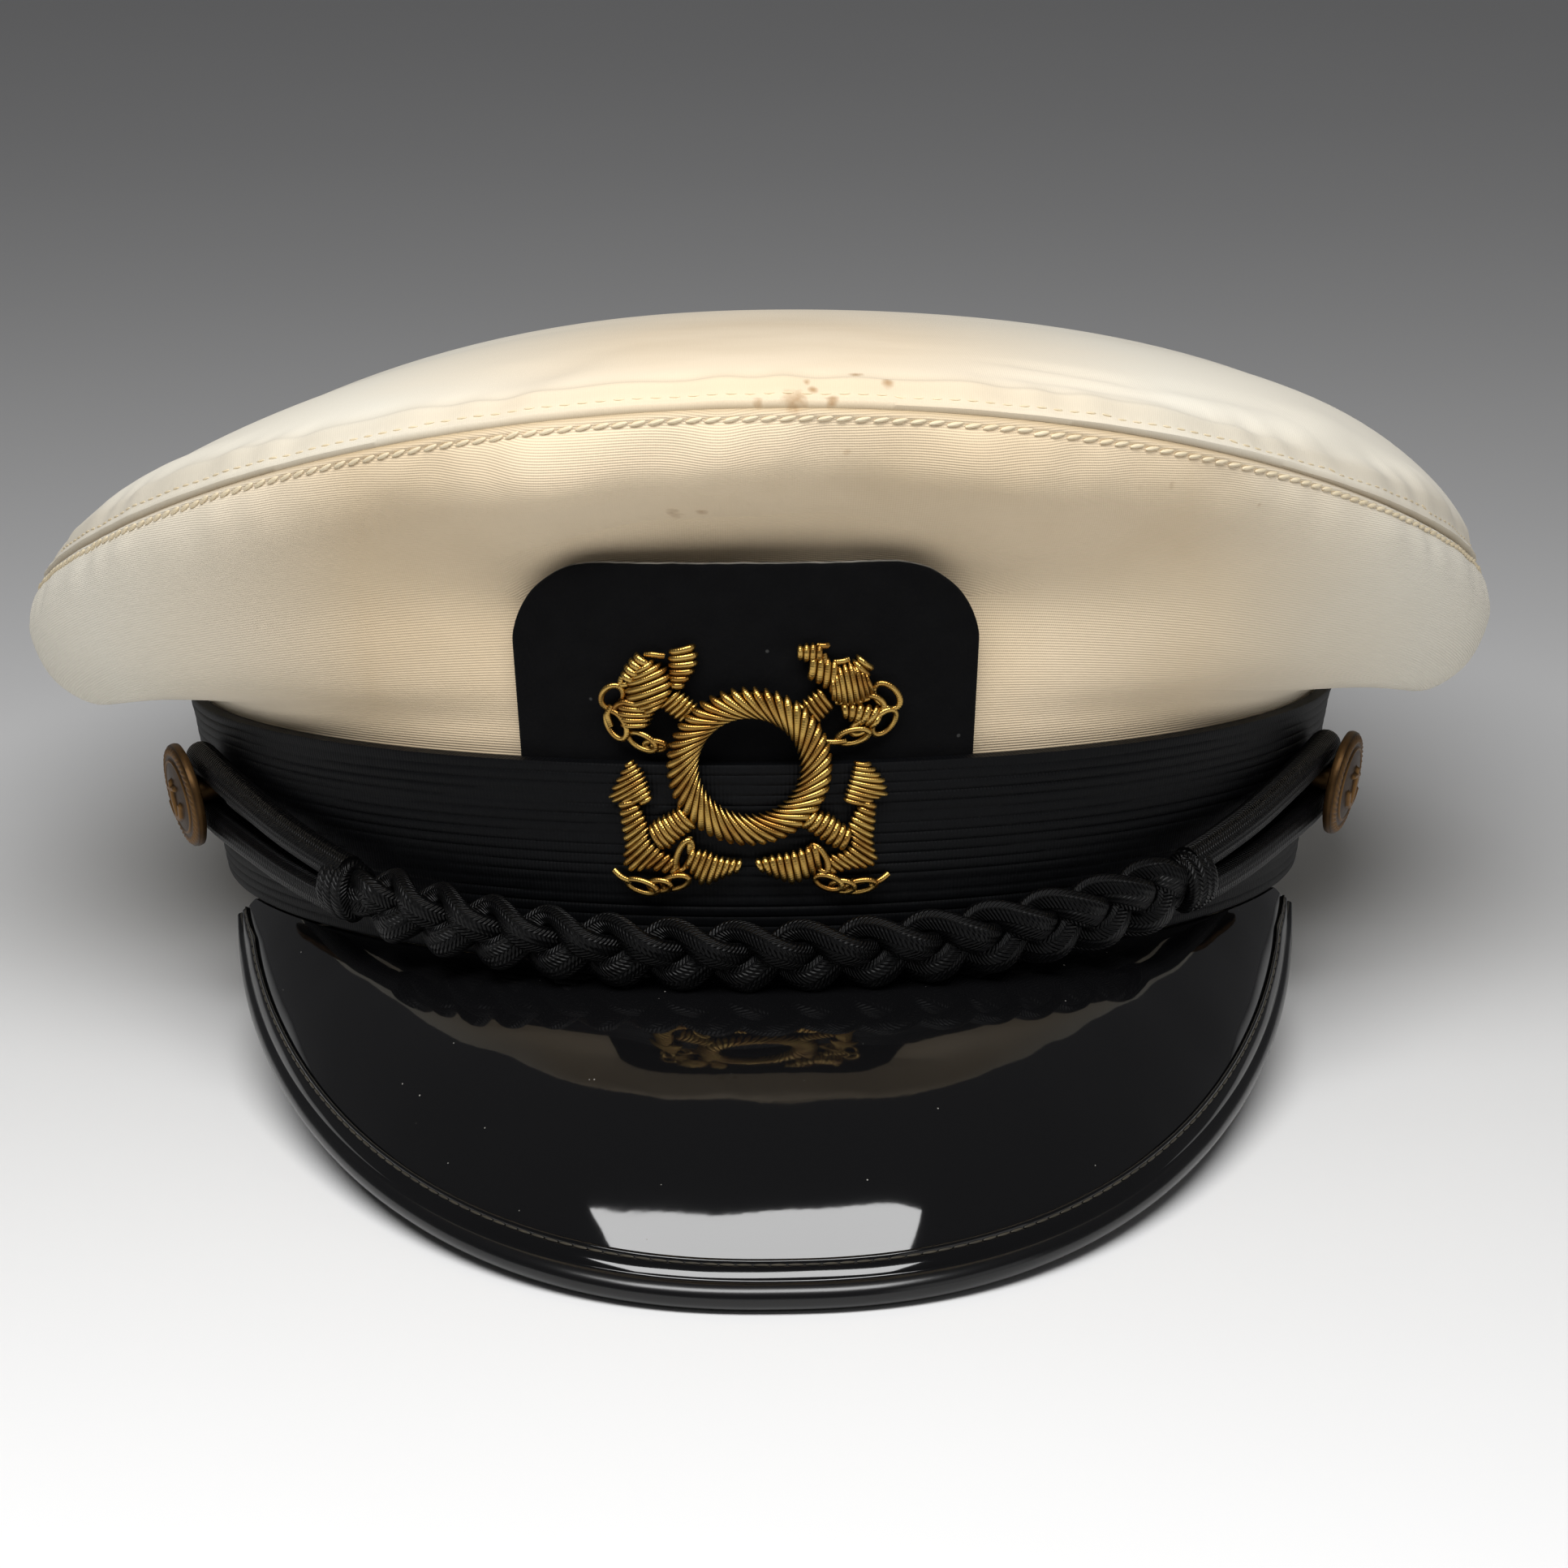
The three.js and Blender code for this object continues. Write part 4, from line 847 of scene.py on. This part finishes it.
def laid_links(links, wires):
    """Lines of the cables' links and of the single wires."""
    lines = []
    turn = np.linspace(0, 2 * np.pi, 25)
    for x, y, long, short, degrees in links:
        lean = math.radians(degrees)
        a, b = long * np.cos(turn), short * np.sin(turn)
        ring = [x + a * math.cos(lean) - b * math.sin(lean), y + a * math.sin(lean) + b * math.cos(lean)]
        rise = LINK_RISE["middle"] + LINK_RISE["swing"] * np.sin(turn + LINK_RISE["start"])
        lines.append(np.stack([*ring, rise], -1))
    for wire in wires:
        flat = along_rail(wire, 9)
        rise = WIRE_RISE["ends"] + WIRE_RISE["hump"] * np.sin(np.linspace(0, np.pi, len(flat)))
        lines.append(np.c_[flat, rise])
    return lines


def worked(name, fields, links, wires, lift):
    """Work one part of the badge flat, then lay it on the hat. lift(height) is what it lies on."""
    lines = laid_links(links, wires)
    radii = [np.full(len(line), PURL["cable"]) for line in lines]
    shape = bmesh.new()
    for starts, ends, arch in fields:
        purls, thick, pad = laid_field(starts, ends, arch)
        lines += list(purls)
        radii += list(thick)
        loops = np.concatenate([pad, pad[:, ::-1] * (1, 1, 0)], 1)
        quads, pad_ends = skin(*loops.shape[:2])
        mesh = bpy.data.meshes.new(name)
        mesh.from_pydata(loops.reshape(-1, 3).tolist(), [], quads.tolist() + pad_ends)
        # The padding's points are marked for the painted shade.
        keep(mesh, "padding", np.ones(len(mesh.vertices)))
        shape.from_mesh(mesh)
    shape.from_mesh(grow(wire_tree, paths(name, lines, radii=radii), Material=bullion))
    mesh = bpy.data.meshes.new(name)
    shape.to_mesh(mesh)
    shape.free()
    flat = np.zeros(len(mesh.vertices) * 3)
    mesh.vertices.foreach_get("co", flat)
    x, y, z = flat.reshape(-1, 3).T
    height = y + BADGE["height"]
    laid = lay_on_front(x + BADGE["shift"], height, lift(height) + z)
    mesh.vertices.foreach_set("co", settle(laid).ravel())
    mesh.update()
    return show(name + "_bullion", mesh, bullion, "bullion", name, crease=60)


def on_band(height):
    """What the lower parts of the badge lie on."""
    return np.full_like(height, BADGE["on_band"])


def on_patch(height):
    """What the upper parts of the badge lie on."""
    return patch_stand(height) + BADGE["on_patch"]


spin = np.arange(RING["purls"] + 1) / RING["purls"] * 2 * np.pi
outer = RING["outer"] * np.stack([np.cos(spin), np.sin(spin)], -1)
inner = RING["inner"] * np.stack([np.cos(spin - RING["slant"]), np.sin(spin - RING["slant"])], -1)
worked("emblem_ring", [(outer, inner, RING["arch"])], [], [], on_band)
for name, rows in FIELDS.items():
    fields = [(along_rail(one, count), along_rail(other, count), arch) for one, other, count, arch in rows]
    worked(name, fields, LINKS[name], WIRES[name], on_patch if "head" in name else on_band)


# The peak is a moulded sheet of black patent leather, domed and sloping down to the front.
# It is sewn under the hem, and its upper face is polished like a mirror.
PEAK_WALL = 1.6
PEAK_ENDS = math.radians(66)
PEAK_COLUMNS = 180
RIM = {"half_width": 77.2, "ends": 38.0, "reach": 106.1, "drop": 34.7}
RIM_CURVE = {"across": 0.86, "forward": 1.4, "fall": 0.8}
RIM_SWEEP = 0.968
PEAK_BULGE = 5.4
BULGE_AT = 0.5
BULGE_FULL = 0.5


def peak_face(across, out):
    """The peak's upper face, from one end to the other and from the hem out to the rim."""
    across, out = np.broadcast_arrays(np.asarray(across, float), np.asarray(out, float))
    angle, turn = across * PEAK_ENDS, across * RIM_SWEEP * np.pi / 2
    root = band_point(angle, np.zeros_like(angle))
    root[..., 2] = -GAP
    sideways = RIM["half_width"] * np.sign(turn) * np.abs(np.sin(turn)) ** RIM_CURVE["across"]
    forward = -RIM["ends"] - RIM["reach"] * np.cos(turn) ** RIM_CURVE["forward"]
    slope = np.stack([sideways, forward, -RIM["drop"] * np.cos(turn) ** RIM_CURVE["fall"]], -1) - root
    across_way = np.stack([np.cos(angle), np.sin(angle), np.zeros_like(angle)], -1)
    proud = unit(np.cross(slope, across_way))
    share = np.minimum(1, np.linalg.norm(slope, axis=-1) / (RIM["reach"] * BULGE_FULL))
    power = BULGE_AT / (1 - BULGE_AT)
    swell = out ** power * (1 - out) / (BULGE_AT ** power * (1 - BULGE_AT))
    bulge = PEAK_BULGE * share * swell
    return root + slope * out[..., None] + proud * bulge[..., None]


def peak_normal(across, out):
    """The way out of the peak's upper face, from small steps over it."""
    a = np.clip(across, -0.995, 0.995)
    b = np.clip(out, 0.01, 0.99)
    way = peak_face(a + 0.004, b) - peak_face(a - 0.004, b)
    slope = peak_face(a, b + 0.009) - peak_face(a, b - 0.009)
    return unit(np.cross(slope, way))


# Patent leather: black, with a thick clear lacquer that mirrors the room, faint waves from the
# moulding, and fine dust.
patent, tree, surface, here = finish_of("black patent leather", Roughness=0.05, IOR=1.49)
waves = add(tree, "ShaderNodeTexNoise", {"Vector": here, "Scale": 1000 / 22.2, "Detail": 1.0}).outputs[0]
orange_peel = add(tree, "ShaderNodeTexNoise", {"Vector": here, "Scale": 1000 / 2.0, "Detail": 1.0}).outputs[0]
height = total(tree, (waves, 1.0), (orange_peel, 0.006))
add(tree, "ShaderNodeBump", {"Height": height, "Distance": 0.75 * MM}, {0: surface.inputs["Normal"]})
dust = add(tree, "ShaderNodeTexVoronoi", {"Vector": here, "Scale": 1000 / 2.38})
cell = add(tree, "ShaderNodeSeparateXYZ", {0: dust.outputs["Color"]})
size = add(tree, "ShaderNodeMapRange", {
    "Value": cell.outputs[0], "From Min": 0.35, "From Max": 1.0, "To Min": 0.0, "To Max": 0.055})
grain = add(tree, "ShaderNodeMath", {
    0: dust.outputs["Distance"], 1: size.outputs[0]}, operation="LESS_THAN").outputs[0]
add(tree, "ShaderNodeMix", {0: grain, 6: tint("#0B0B0C"), 7: tint("#8C8A84")},
    {2: surface.inputs["Base Color"]}, data_type="RGBA")
add(tree, "ShaderNodeMix", {0: grain, 2: 0.05, 3: 0.8}, {0: surface.inputs["Roughness"]}, data_type="FLOAT")

across = np.linspace(-1, 1, PEAK_COLUMNS + 1)[:, None]
lower_out = np.linspace(0, 1, 16)
upper = peak_face(across, np.linspace(1, 0, 46))
lower_normal = peak_normal(across, lower_out)
lower_normal[:, 0] = unit(lower_normal[:, 0] * (1, 1, 0))
lower = peak_face(across, lower_out) - lower_normal * PEAK_WALL
peak_mesh = loft("peak_leather", np.concatenate([lower, upper], 1))
show("peak_leather", peak_mesh, patent, "patent", "peak")


# The peak's rim is bound with a folded strip of patent leather, sewn through near its inner edge.
# The fold swells into a bead round the rim.
BINDING_LAP = 5.1
# The strip's section: distance out from the rim, height from the peak's middle layer.
BINDING_SECTION = np.array([
    (-5.0, 0.84), (-5.1, 1.0), (-4.95, 1.22), (-4.7, 1.28), (-4.45, 1.2), (-4.25, 1.02), (-4.05, 1.2),
    (-3.8, 1.27), (-3.2, 1.34), (-2.6, 1.41), (-2.25, 1.36), (-2.05, 1.34), (-1.75, 1.6), (-1.25, 1.88),
    (-0.6, 1.98), (0.0, 1.9), (0.55, 1.58), (0.95, 1.1), (1.15, 0.5), (1.15, -0.3), (0.9, -1.0),
    (0.4, -1.5), (-0.3, -1.75), (-1.2, -1.75), (-2.2, -1.5), (-4.7, -1.4), (-5.0, -1.2), (-5.0, -0.84),
    (0.15, -0.84), (0.15, 0.84),
])
PEAK_STITCH = {
    "out": -4.25, "up": 1.16, "ends": 0.985, "pitch": 2.2, "length": 2.1, "thread": 0.18, "slant": 0}

# The edging has the same lacquer on its flat, and a rubbed, silkier face on its bead.
edging, tree, surface, here = finish_of("black edging leather", IOR=1.5, Base_Color=tint("#060607"))
across_strip = add(tree, "ShaderNodeSeparateXYZ", {0: add(tree, "ShaderNodeUVMap").outputs[0]}).outputs["Y"]
add(tree, "ShaderNodeMapRange", {
    "Value": across_strip, "From Min": 3.6 * MM, "From Max": 4.2 * MM, "To Min": 0.07, "To Max": 0.24},
    {0: surface.inputs["Roughness"]})
waves = add(tree, "ShaderNodeTexNoise", {"Vector": here, "Scale": 1000 / 16.7, "Detail": 1.0})
add(tree, "ShaderNodeBump", {"Height": waves.outputs[0], "Distance": 0.4 * MM}, {0: surface.inputs["Normal"]})


def binding_point(across, out, up):
    """A point of the binding: out from the rim and up from the peak's middle layer."""
    size = np.linalg.norm(peak_face(across, 0.0) - peak_face(across, 1.0), axis=-1)
    fit = np.minimum(1, size / (2 * BINDING_LAP))
    at = 1 + np.minimum(0, out) * fit / size
    outward = unit(peak_face(across, 1.0) - peak_face(across, 0.97))
    past = np.maximum(0, out)
    lifted = peak_normal(across, at) * (up - PEAK_WALL / 2)[..., None]
    return peak_face(across, at) + outward * past[..., None] + lifted


binding_loops = binding_point(across, BINDING_SECTION[:, 0], BINDING_SECTION[:, 1])
binding_mesh = loft("peak_binding_leather", binding_loops)
show("peak_binding_leather", binding_mesh, edging, "patent_edge", "peak_binding", crease=55)

# Waxed linen thread, greyed, in a row of small stitches along the binding.
linen, tree, surface, here = finish_of("waxed linen thread", Roughness=0.5)
grime = add(tree, "ShaderNodeTexNoise", {"Vector": here, "Scale": 1000 / 3.33, "Detail": 3.0})
add(tree, "ShaderNodeMix", {0: grime.outputs[0], 6: tint("#4A4437"), 7: tint("#14120F")},
    {2: surface.inputs["Base Color"]}, data_type="RGBA")
fine = np.linspace(-PEAK_STITCH["ends"], PEAK_STITCH["ends"], 500)
sewn = binding_point(fine, np.full_like(fine, PEAK_STITCH["out"]), np.full_like(fine, PEAK_STITCH["up"]))
sew("peak_stitches", sewn, PEAK_STITCH, linen, "patent_edge")


# The plait is three strands of black braided rayon cord, crossed over one another along the front.
# It hangs between the two buttons and rests on the band and the root of the peak.
STRAND = {"half_width": 2.45, "half_depth": 1.45, "sway": 2.95, "weave": 1.9, "pitch": 26.0, "tilt": 0.38}
STRAND_STEPS = 300
PLAIT = {"ends": math.radians(38), "middle_z": 3.6, "end_z": 8.4, "stand_off": 5.2}
# The strands run on into the knots and draw together there: how far, from where, how close.
GATHER = {"reach": 1.07, "start": 0.96, "least": 0.35}


def plait_height(angle):
    """Height of the plait's middle line."""
    return PLAIT["middle_z"] + (PLAIT["end_z"] - PLAIT["middle_z"]) * (angle / PLAIT["ends"]) ** 2


def plait_frame(angle):
    """The plait's middle line, with the directions along it, across it and out of it."""
    z = plait_height(angle)
    point = band_point(angle, z, np.full_like(angle, PLAIT["stand_off"]))
    normal = band_normal(angle, z)
    ahead = band_point(angle + 0.01, plait_height(angle + 0.01), np.full_like(angle, PLAIT["stand_off"]))
    along = unit(ahead - point)
    up = unit(-np.cross(along, normal))
    tilt = (STRAND["tilt"] * (1 - np.minimum(1, np.abs(angle / PLAIT["ends"])) ** 2))[..., None]
    leaning_up = up * np.cos(tilt) + np.cross(along, up) * np.sin(tilt)
    leaning_out = normal * np.cos(tilt) + np.cross(along, normal) * np.sin(tilt)
    return point, along, leaning_up, leaning_out


def plait_length(angle):
    """Distance along the plait from the middle of the front."""
    fine = np.linspace(0, 1, 400) * PLAIT["ends"] * 1.4
    return np.sign(angle) * np.interp(np.abs(angle), fine, lengths(plait_frame(fine)[0], 0))


def tube(name, line, flat_way, half_width, half_depth, sides=20):
    """A closed tube along a line, half_depth thick along flat_way and half_width across it."""
    along = unit(np.gradient(line, axis=0))
    out = unit(flat_way - (flat_way * along).sum(-1, keepdims=True) * along)
    wide = np.cross(along, out)
    turn = (np.arange(sides) / sides * 2 * np.pi)[:, None]
    ring = wide[:, None] * np.cos(turn) * half_width + out[:, None] * np.sin(turn) * half_depth
    return loft(name, line[:, None] + ring)


# Black braided rayon: shiny threads plaited in chevrons round the cord, each under a millimetre.
rayon, tree, surface, here = finish_of("black braided rayon", Roughness=0.36, Specular_IOR_Level=0.15)
place = add(tree, "ShaderNodeSeparateXYZ", {0: add(tree, "ShaderNodeUVMap").outputs[0]})
lane = add(tree, "ShaderNodeMath", {0: place.outputs["Y"], 1: 1000 / 1.7}, operation="MULTIPLY")
zigzag = add(tree, "ShaderNodeMath", {0: lane.outputs[0], 1: 1.0}, operation="PINGPONG")
slant = total(tree, (place.outputs["X"], 1.0), (zigzag.outputs[0], 1.2 * MM))
chevron = sines(tree, slant, 0.55)
lanes = sines(tree, place.outputs["Y"], 0.85)
wear = add(tree, "ShaderNodeTexNoise", {"Vector": here, "Scale": 1000 / 2.0, "Detail": 3.0}).outputs[0]
add(tree, "ShaderNodeMix", {0: wear, 6: tint("#020202"), 7: tint("#060607")},
    {2: surface.inputs["Base Color"]}, data_type="RGBA")
height = total(tree, (chevron, 0.6), (lanes, 0.3), (wear, 0.5))
add(tree, "ShaderNodeBump", {"Height": height, "Distance": 0.11 * MM}, {0: surface.inputs["Normal"]})

reach = PLAIT["ends"] * GATHER["reach"]
angle = np.linspace(-reach, reach, STRAND_STEPS)
point, along, up, out = plait_frame(angle)
gather = (reach - np.abs(angle)) / (reach - GATHER["start"] * PLAIT["ends"])
gather = np.clip(gather, GATHER["least"], 1)[:, None]
for number in (1, 2, 3):
    phase = (plait_length(angle) / STRAND["pitch"] + number / 3) * 2 * np.pi
    line = point + gather * up * (STRAND["sway"] * np.sin(phase))[:, None]
    line = line - gather * out * (STRAND["weave"] * np.sin(2 * phase))[:, None]
    name = f"braid_strand_{number}"
    strand = tube(name, line, out, STRAND["half_width"], STRAND["half_depth"])
    show(name + "_rayon", strand, rayon, "black_cord", name)


# Each end of the plait is bound with a knot, which is three turns of the same rayon cord.
# The turns lie side by side round the ends of the strands and hide where they stop.
KNOT = {"length": 6.6, "clear": 1.2, "turns": 3, "cord": 1.35, "half_height": 3.3, "half_depth": 2.5}
# Shape of the turns: how much thinner the knot's ends are, how far it spreads, how flat the cord is.
KNOT_FORM = {"pinch": 0.14, "spread": 1.1, "flat": 1.05}
SIDES = (("left", -1), ("right", 1))

per_radian = plait_length(np.array([PLAIT["ends"]]))[0] / PLAIT["ends"]
knot_angle = PLAIT["ends"] + (KNOT["length"] / 2 + KNOT["clear"]) / per_radian
t = np.linspace(0, 1, 120)
swell = 1 - KNOT_FORM["pinch"] + KNOT_FORM["pinch"] * np.sin(np.pi * t)
shift = (t - 0.5) * (KNOT["length"] - 2 * KNOT["cord"]) * KNOT_FORM["spread"]
phase = t * KNOT["turns"] * 2 * np.pi
for side, mirror in SIDES:
    point, along, up, out = (value[0] for value in plait_frame(np.array([knot_angle * mirror])))
    line = point + along * shift[:, None] + up * (KNOT["half_height"] * swell * np.cos(phase))[:, None]
    line = line + out * (KNOT["half_depth"] * swell * np.sin(phase))[:, None]
    outward = up * np.cos(phase)[:, None] + out * np.sin(phase)[:, None]
    name = "braid_knot_" + side
    binding = tube(name, line, outward, KNOT["cord"] * KNOT_FORM["flat"], KNOT["cord"], 14)
    show(name + "_rayon", binding, rayon, "black_cord", name)


# From each knot a doubled cord of the same rayon runs back along the band to a button.
# It goes round the button's shank and home again, and lies on the band all the way.
CORD = {"radius": 2.3, "spread": 2.6, "settles": 1.6}
BUTTON = {"angle": math.radians(66), "z": 17.3, "radius": 7.75, "shank": 1.7, "back": 6.0, "dome": 2.6}
# The band's reach at the button, which turns millimetres along the band to an angle.
BAND_ARM = 92

start = knot_angle - KNOT["clear"] / per_radian
turn_radius = BUTTON["shank"] + CORD["radius"] + GAP
at_band = CORD["radius"] + 2 * GAP
share = np.array([0, 0.33, 0.66])
legs = []
for sign, order in ((1, share), (-1, share[::-1])):
    leg_angle = start + (BUTTON["angle"] - start) * order
    leg_z = plait_height(knot_angle) + sign * CORD["spread"]
    leg_z = leg_z + (BUTTON["z"] + sign * turn_radius - leg_z) * order
    stand_off = PLAIT["stand_off"] + (at_band - PLAIT["stand_off"]) * np.minimum(1, order * CORD["settles"])
    legs.append(np.stack([leg_angle, leg_z, stand_off], -1))
bend = np.linspace(0, np.pi, 7)
round_shank = np.stack([
    BUTTON["angle"] + turn_radius * np.sin(bend) / BAND_ARM, BUTTON["z"] + turn_radius * np.cos(bend),
    np.full_like(bend, at_band)], -1)
route = np.concatenate([legs[0], round_shank, legs[1]])
cord_angle, cord_z, cord_out = between(route, np.linspace(0, len(route) - 1, 160)).T
for side, mirror in SIDES:
    line = band_point(cord_angle * mirror, cord_z, cord_out)
    name = "cord_loop_" + side
    cord = tube(name, line, band_normal(cord_angle * mirror, cord_z), CORD["radius"], CORD["radius"])
    show(name + "_rayon", cord, rayon, "black_cord", name)


# The buttons are stamped brass domes on wire shanks, sewn through the band.
# Each has a roped rim, a fine inner ring and a small anchor in the middle.
BUTTON_COLUMNS = 128
RIM_HEIGHT = 1.35
# Strokes of the anchor: from x, y to x, y, half width.
ANCHOR = [(0, 2.4, 0, -3.0, 0.42), (-1.6, 1.5, 1.6, 1.5, 0.36), (-2.5, -1.0, -1.5, -2.6, 0.42),
          (-1.5, -2.6, 0, -3.2, 0.42), (0, -3.2, 1.5, -2.6, 0.42), (1.5, -2.6, 2.5, -1.0, 0.42)]
ANCHOR_HEIGHT = 0.5
STROKE_SLOPE = {"past": 0.22, "width": 0.4}
# Rope and ring: share of the radius at the middle, half width as a share, height.
ROPE = {"at": 0.88, "half": 0.085, "height": 0.35, "turns": 44, "slant": 40, "lay": 0.3}
INNER_RING = {"at": 0.70, "half": 0.035, "height": 0.22}
# How bright the inner ring and the back are rubbed, next to the anchor and the rope.
RUBBED = {"ring": 4, "back": 0.25}


def anchor_height(x, y):
    """The anchor's relief, from 0 on the ground to 1 on its strokes."""
    height = np.zeros_like(x)
    for x1, y1, x2, y2, half in ANCHOR:
        way = np.array([x2 - x1, y2 - y1])
        share = np.clip(((x - x1) * way[0] + (y - y1) * way[1]) / (way @ way), 0, 1)
        apart = np.hypot(x - x1 - share * way[0], y - y1 - share * way[1])
        rise = (half + STROKE_SLOPE["past"] - apart) / STROKE_SLOPE["width"]
        height = np.maximum(height, np.clip(rise, 0, 1))
    return height * height * (3 - 2 * height)


# Old brass: dark brown in the hollows, rubbed to dull gold on the high parts.
brass, tree, surface, here = finish_of("old stamped brass", Metallic=0.9, Roughness=0.45)
patina = add(tree, "ShaderNodeTexNoise", {"Vector": here, "Scale": 1000 / 1.67, "Detail": 4.0}).outputs[0]
high = add(tree, "ShaderNodeAttribute", attribute_name="rubbed").outputs["Fac"]
rubbed = total(tree, (high, 0.9), (patina, 0.35))
add(tree, "ShaderNodeMix", {0: rubbed, 6: tint("#22170D"), 7: tint("#7C5C36")},
    {2: surface.inputs["Base Color"]}, data_type="RGBA")
add(tree, "ShaderNodeBump", {"Height": patina, "Distance": 0.05 * MM}, {0: surface.inputs["Normal"]})

# The profile runs from the shank's foot, round the back and rim, to the middle of the face.
radius, back, shank = BUTTON["radius"], BUTTON["back"], BUTTON["shank"]
stem = np.array([
    (0, GAP), (shank, GAP), (shank, back * 0.5), (shank, back), (radius * 0.6, back),
    (radius * 0.92, back + 0.05), (radius * 0.985, back + 0.25), (radius, back + 0.6), (radius, back + 1.0)])
face_share = np.linspace(0.985, 0, 60)
face_up = back + RIM_HEIGHT + (BUTTON["dome"] - RIM_HEIGHT) * (1 - face_share ** 2)
profile = np.concatenate([stem, np.stack([face_share * radius, face_up], -1)])
spin = np.arange(BUTTON_COLUMNS)[:, None] / BUTTON_COLUMNS * 2 * np.pi
x = np.cos(spin) * profile[:, 0]
y = np.sin(spin) * profile[:, 0]
on_face = np.arange(len(profile)) >= len(stem)
share = profile[:, 0] / radius
rope_band = on_face * np.clip(1 - ((share - ROPE["at"]) / ROPE["half"]) ** 2, 0, 1)
strands = 1 - ROPE["lay"] + ROPE["lay"] * np.sin(spin * ROPE["turns"] + share * ROPE["slant"])
ropes = ROPE["height"] * np.sqrt(rope_band) * strands
ring_band = on_face * np.clip(1 - ((share - INNER_RING["at"]) / INNER_RING["half"]) ** 2, 0, 1)
inner_ring = INNER_RING["height"] * ring_band
raised = on_face * anchor_height(x, y)
z = profile[:, 1] + ropes + inner_ring + ANCHOR_HEIGHT * raised
high = raised + ropes / ROPE["height"] + inner_ring * RUBBED["ring"] + RUBBED["back"] * ~on_face
high = np.clip(high, 0, 1)
for side, mirror in SIDES:
    angle = BUTTON["angle"] * mirror
    out = band_normal(np.array(angle), np.array(BUTTON["z"]))
    wide = unit(np.cross((0, 0, 1), out))
    up = np.cross(out, wide)
    loops = band_point(angle, BUTTON["z"]) + x[..., None] * wide + y[..., None] * up + z[..., None] * out
    name = "button_" + side
    mesh = loft(name, loops, ring=True)
    keep(mesh, "rubbed", high)
    close_poles(mesh)
    show(name + "_brass", mesh, brass, "brass", name)


# The hat stands on pale paper under one soft box, hung low over the front of the peak.
# A pale wall to the right and a dim room fill the shadows.
FLOOR_REACH = 6.0
paper, tree, surface, here = finish_of("pale paper", Roughness=0.9, Specular_IOR_Level=0.1)
pulp = add(tree, "ShaderNodeTexNoise", {"Vector": here, "Scale": 1000 / 167, "Detail": 2.0})
add(tree, "ShaderNodeMix", {0: pulp.outputs[0], 6: tint("#DDDDDD"), 7: tint("#E1E1E1")},
    {2: surface.inputs["Base Color"]}, data_type="RGBA")
floor_mesh = bpy.data.meshes.new("floor")
corners = [(x * FLOOR_REACH, y * FLOOR_REACH, 0) for x, y in ((-1, -1), (1, -1), (1, 1), (-1, 1))]
floor_mesh.from_pydata(corners, [], [(0, 1, 2, 3)])
floor_mesh.materials.append(paper)
floor = bpy.data.objects.new("floor", floor_mesh)
bpy.context.scene.collection.objects.link(floor)
floor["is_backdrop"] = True


def soft_box(name, place, target, size, power):
    """A lit rectangle that faces a target."""
    light = bpy.data.lights.new(name, "AREA")
    light.shape = "RECTANGLE"
    light.size, light.size_y = size
    light.energy = power
    lamp = bpy.data.objects.new(name, light)
    lamp.location = place
    lamp.rotation_euler = (Vector(target) - Vector(place)).to_track_quat("-Z", "Y").to_euler()
    bpy.context.scene.collection.objects.link(lamp)


soft_box("soft box", (-0.06, -0.39, 0.55), (-0.06, -0.39, 0.0), (0.68, 0.21), 5.7)
soft_box("right wall", (1.2, -1.0, 0.35), (0.0, 0.0, 0.05), (1.2, 0.6), 1.4)

room = bpy.data.worlds.new("room")
room.use_nodes = True
room.node_tree.nodes["Background"].inputs["Color"].default_value = tint("#5C5C5D")
bpy.context.scene.world = room
bpy.context.scene.view_settings.view_transform = "Standard"

low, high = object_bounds()
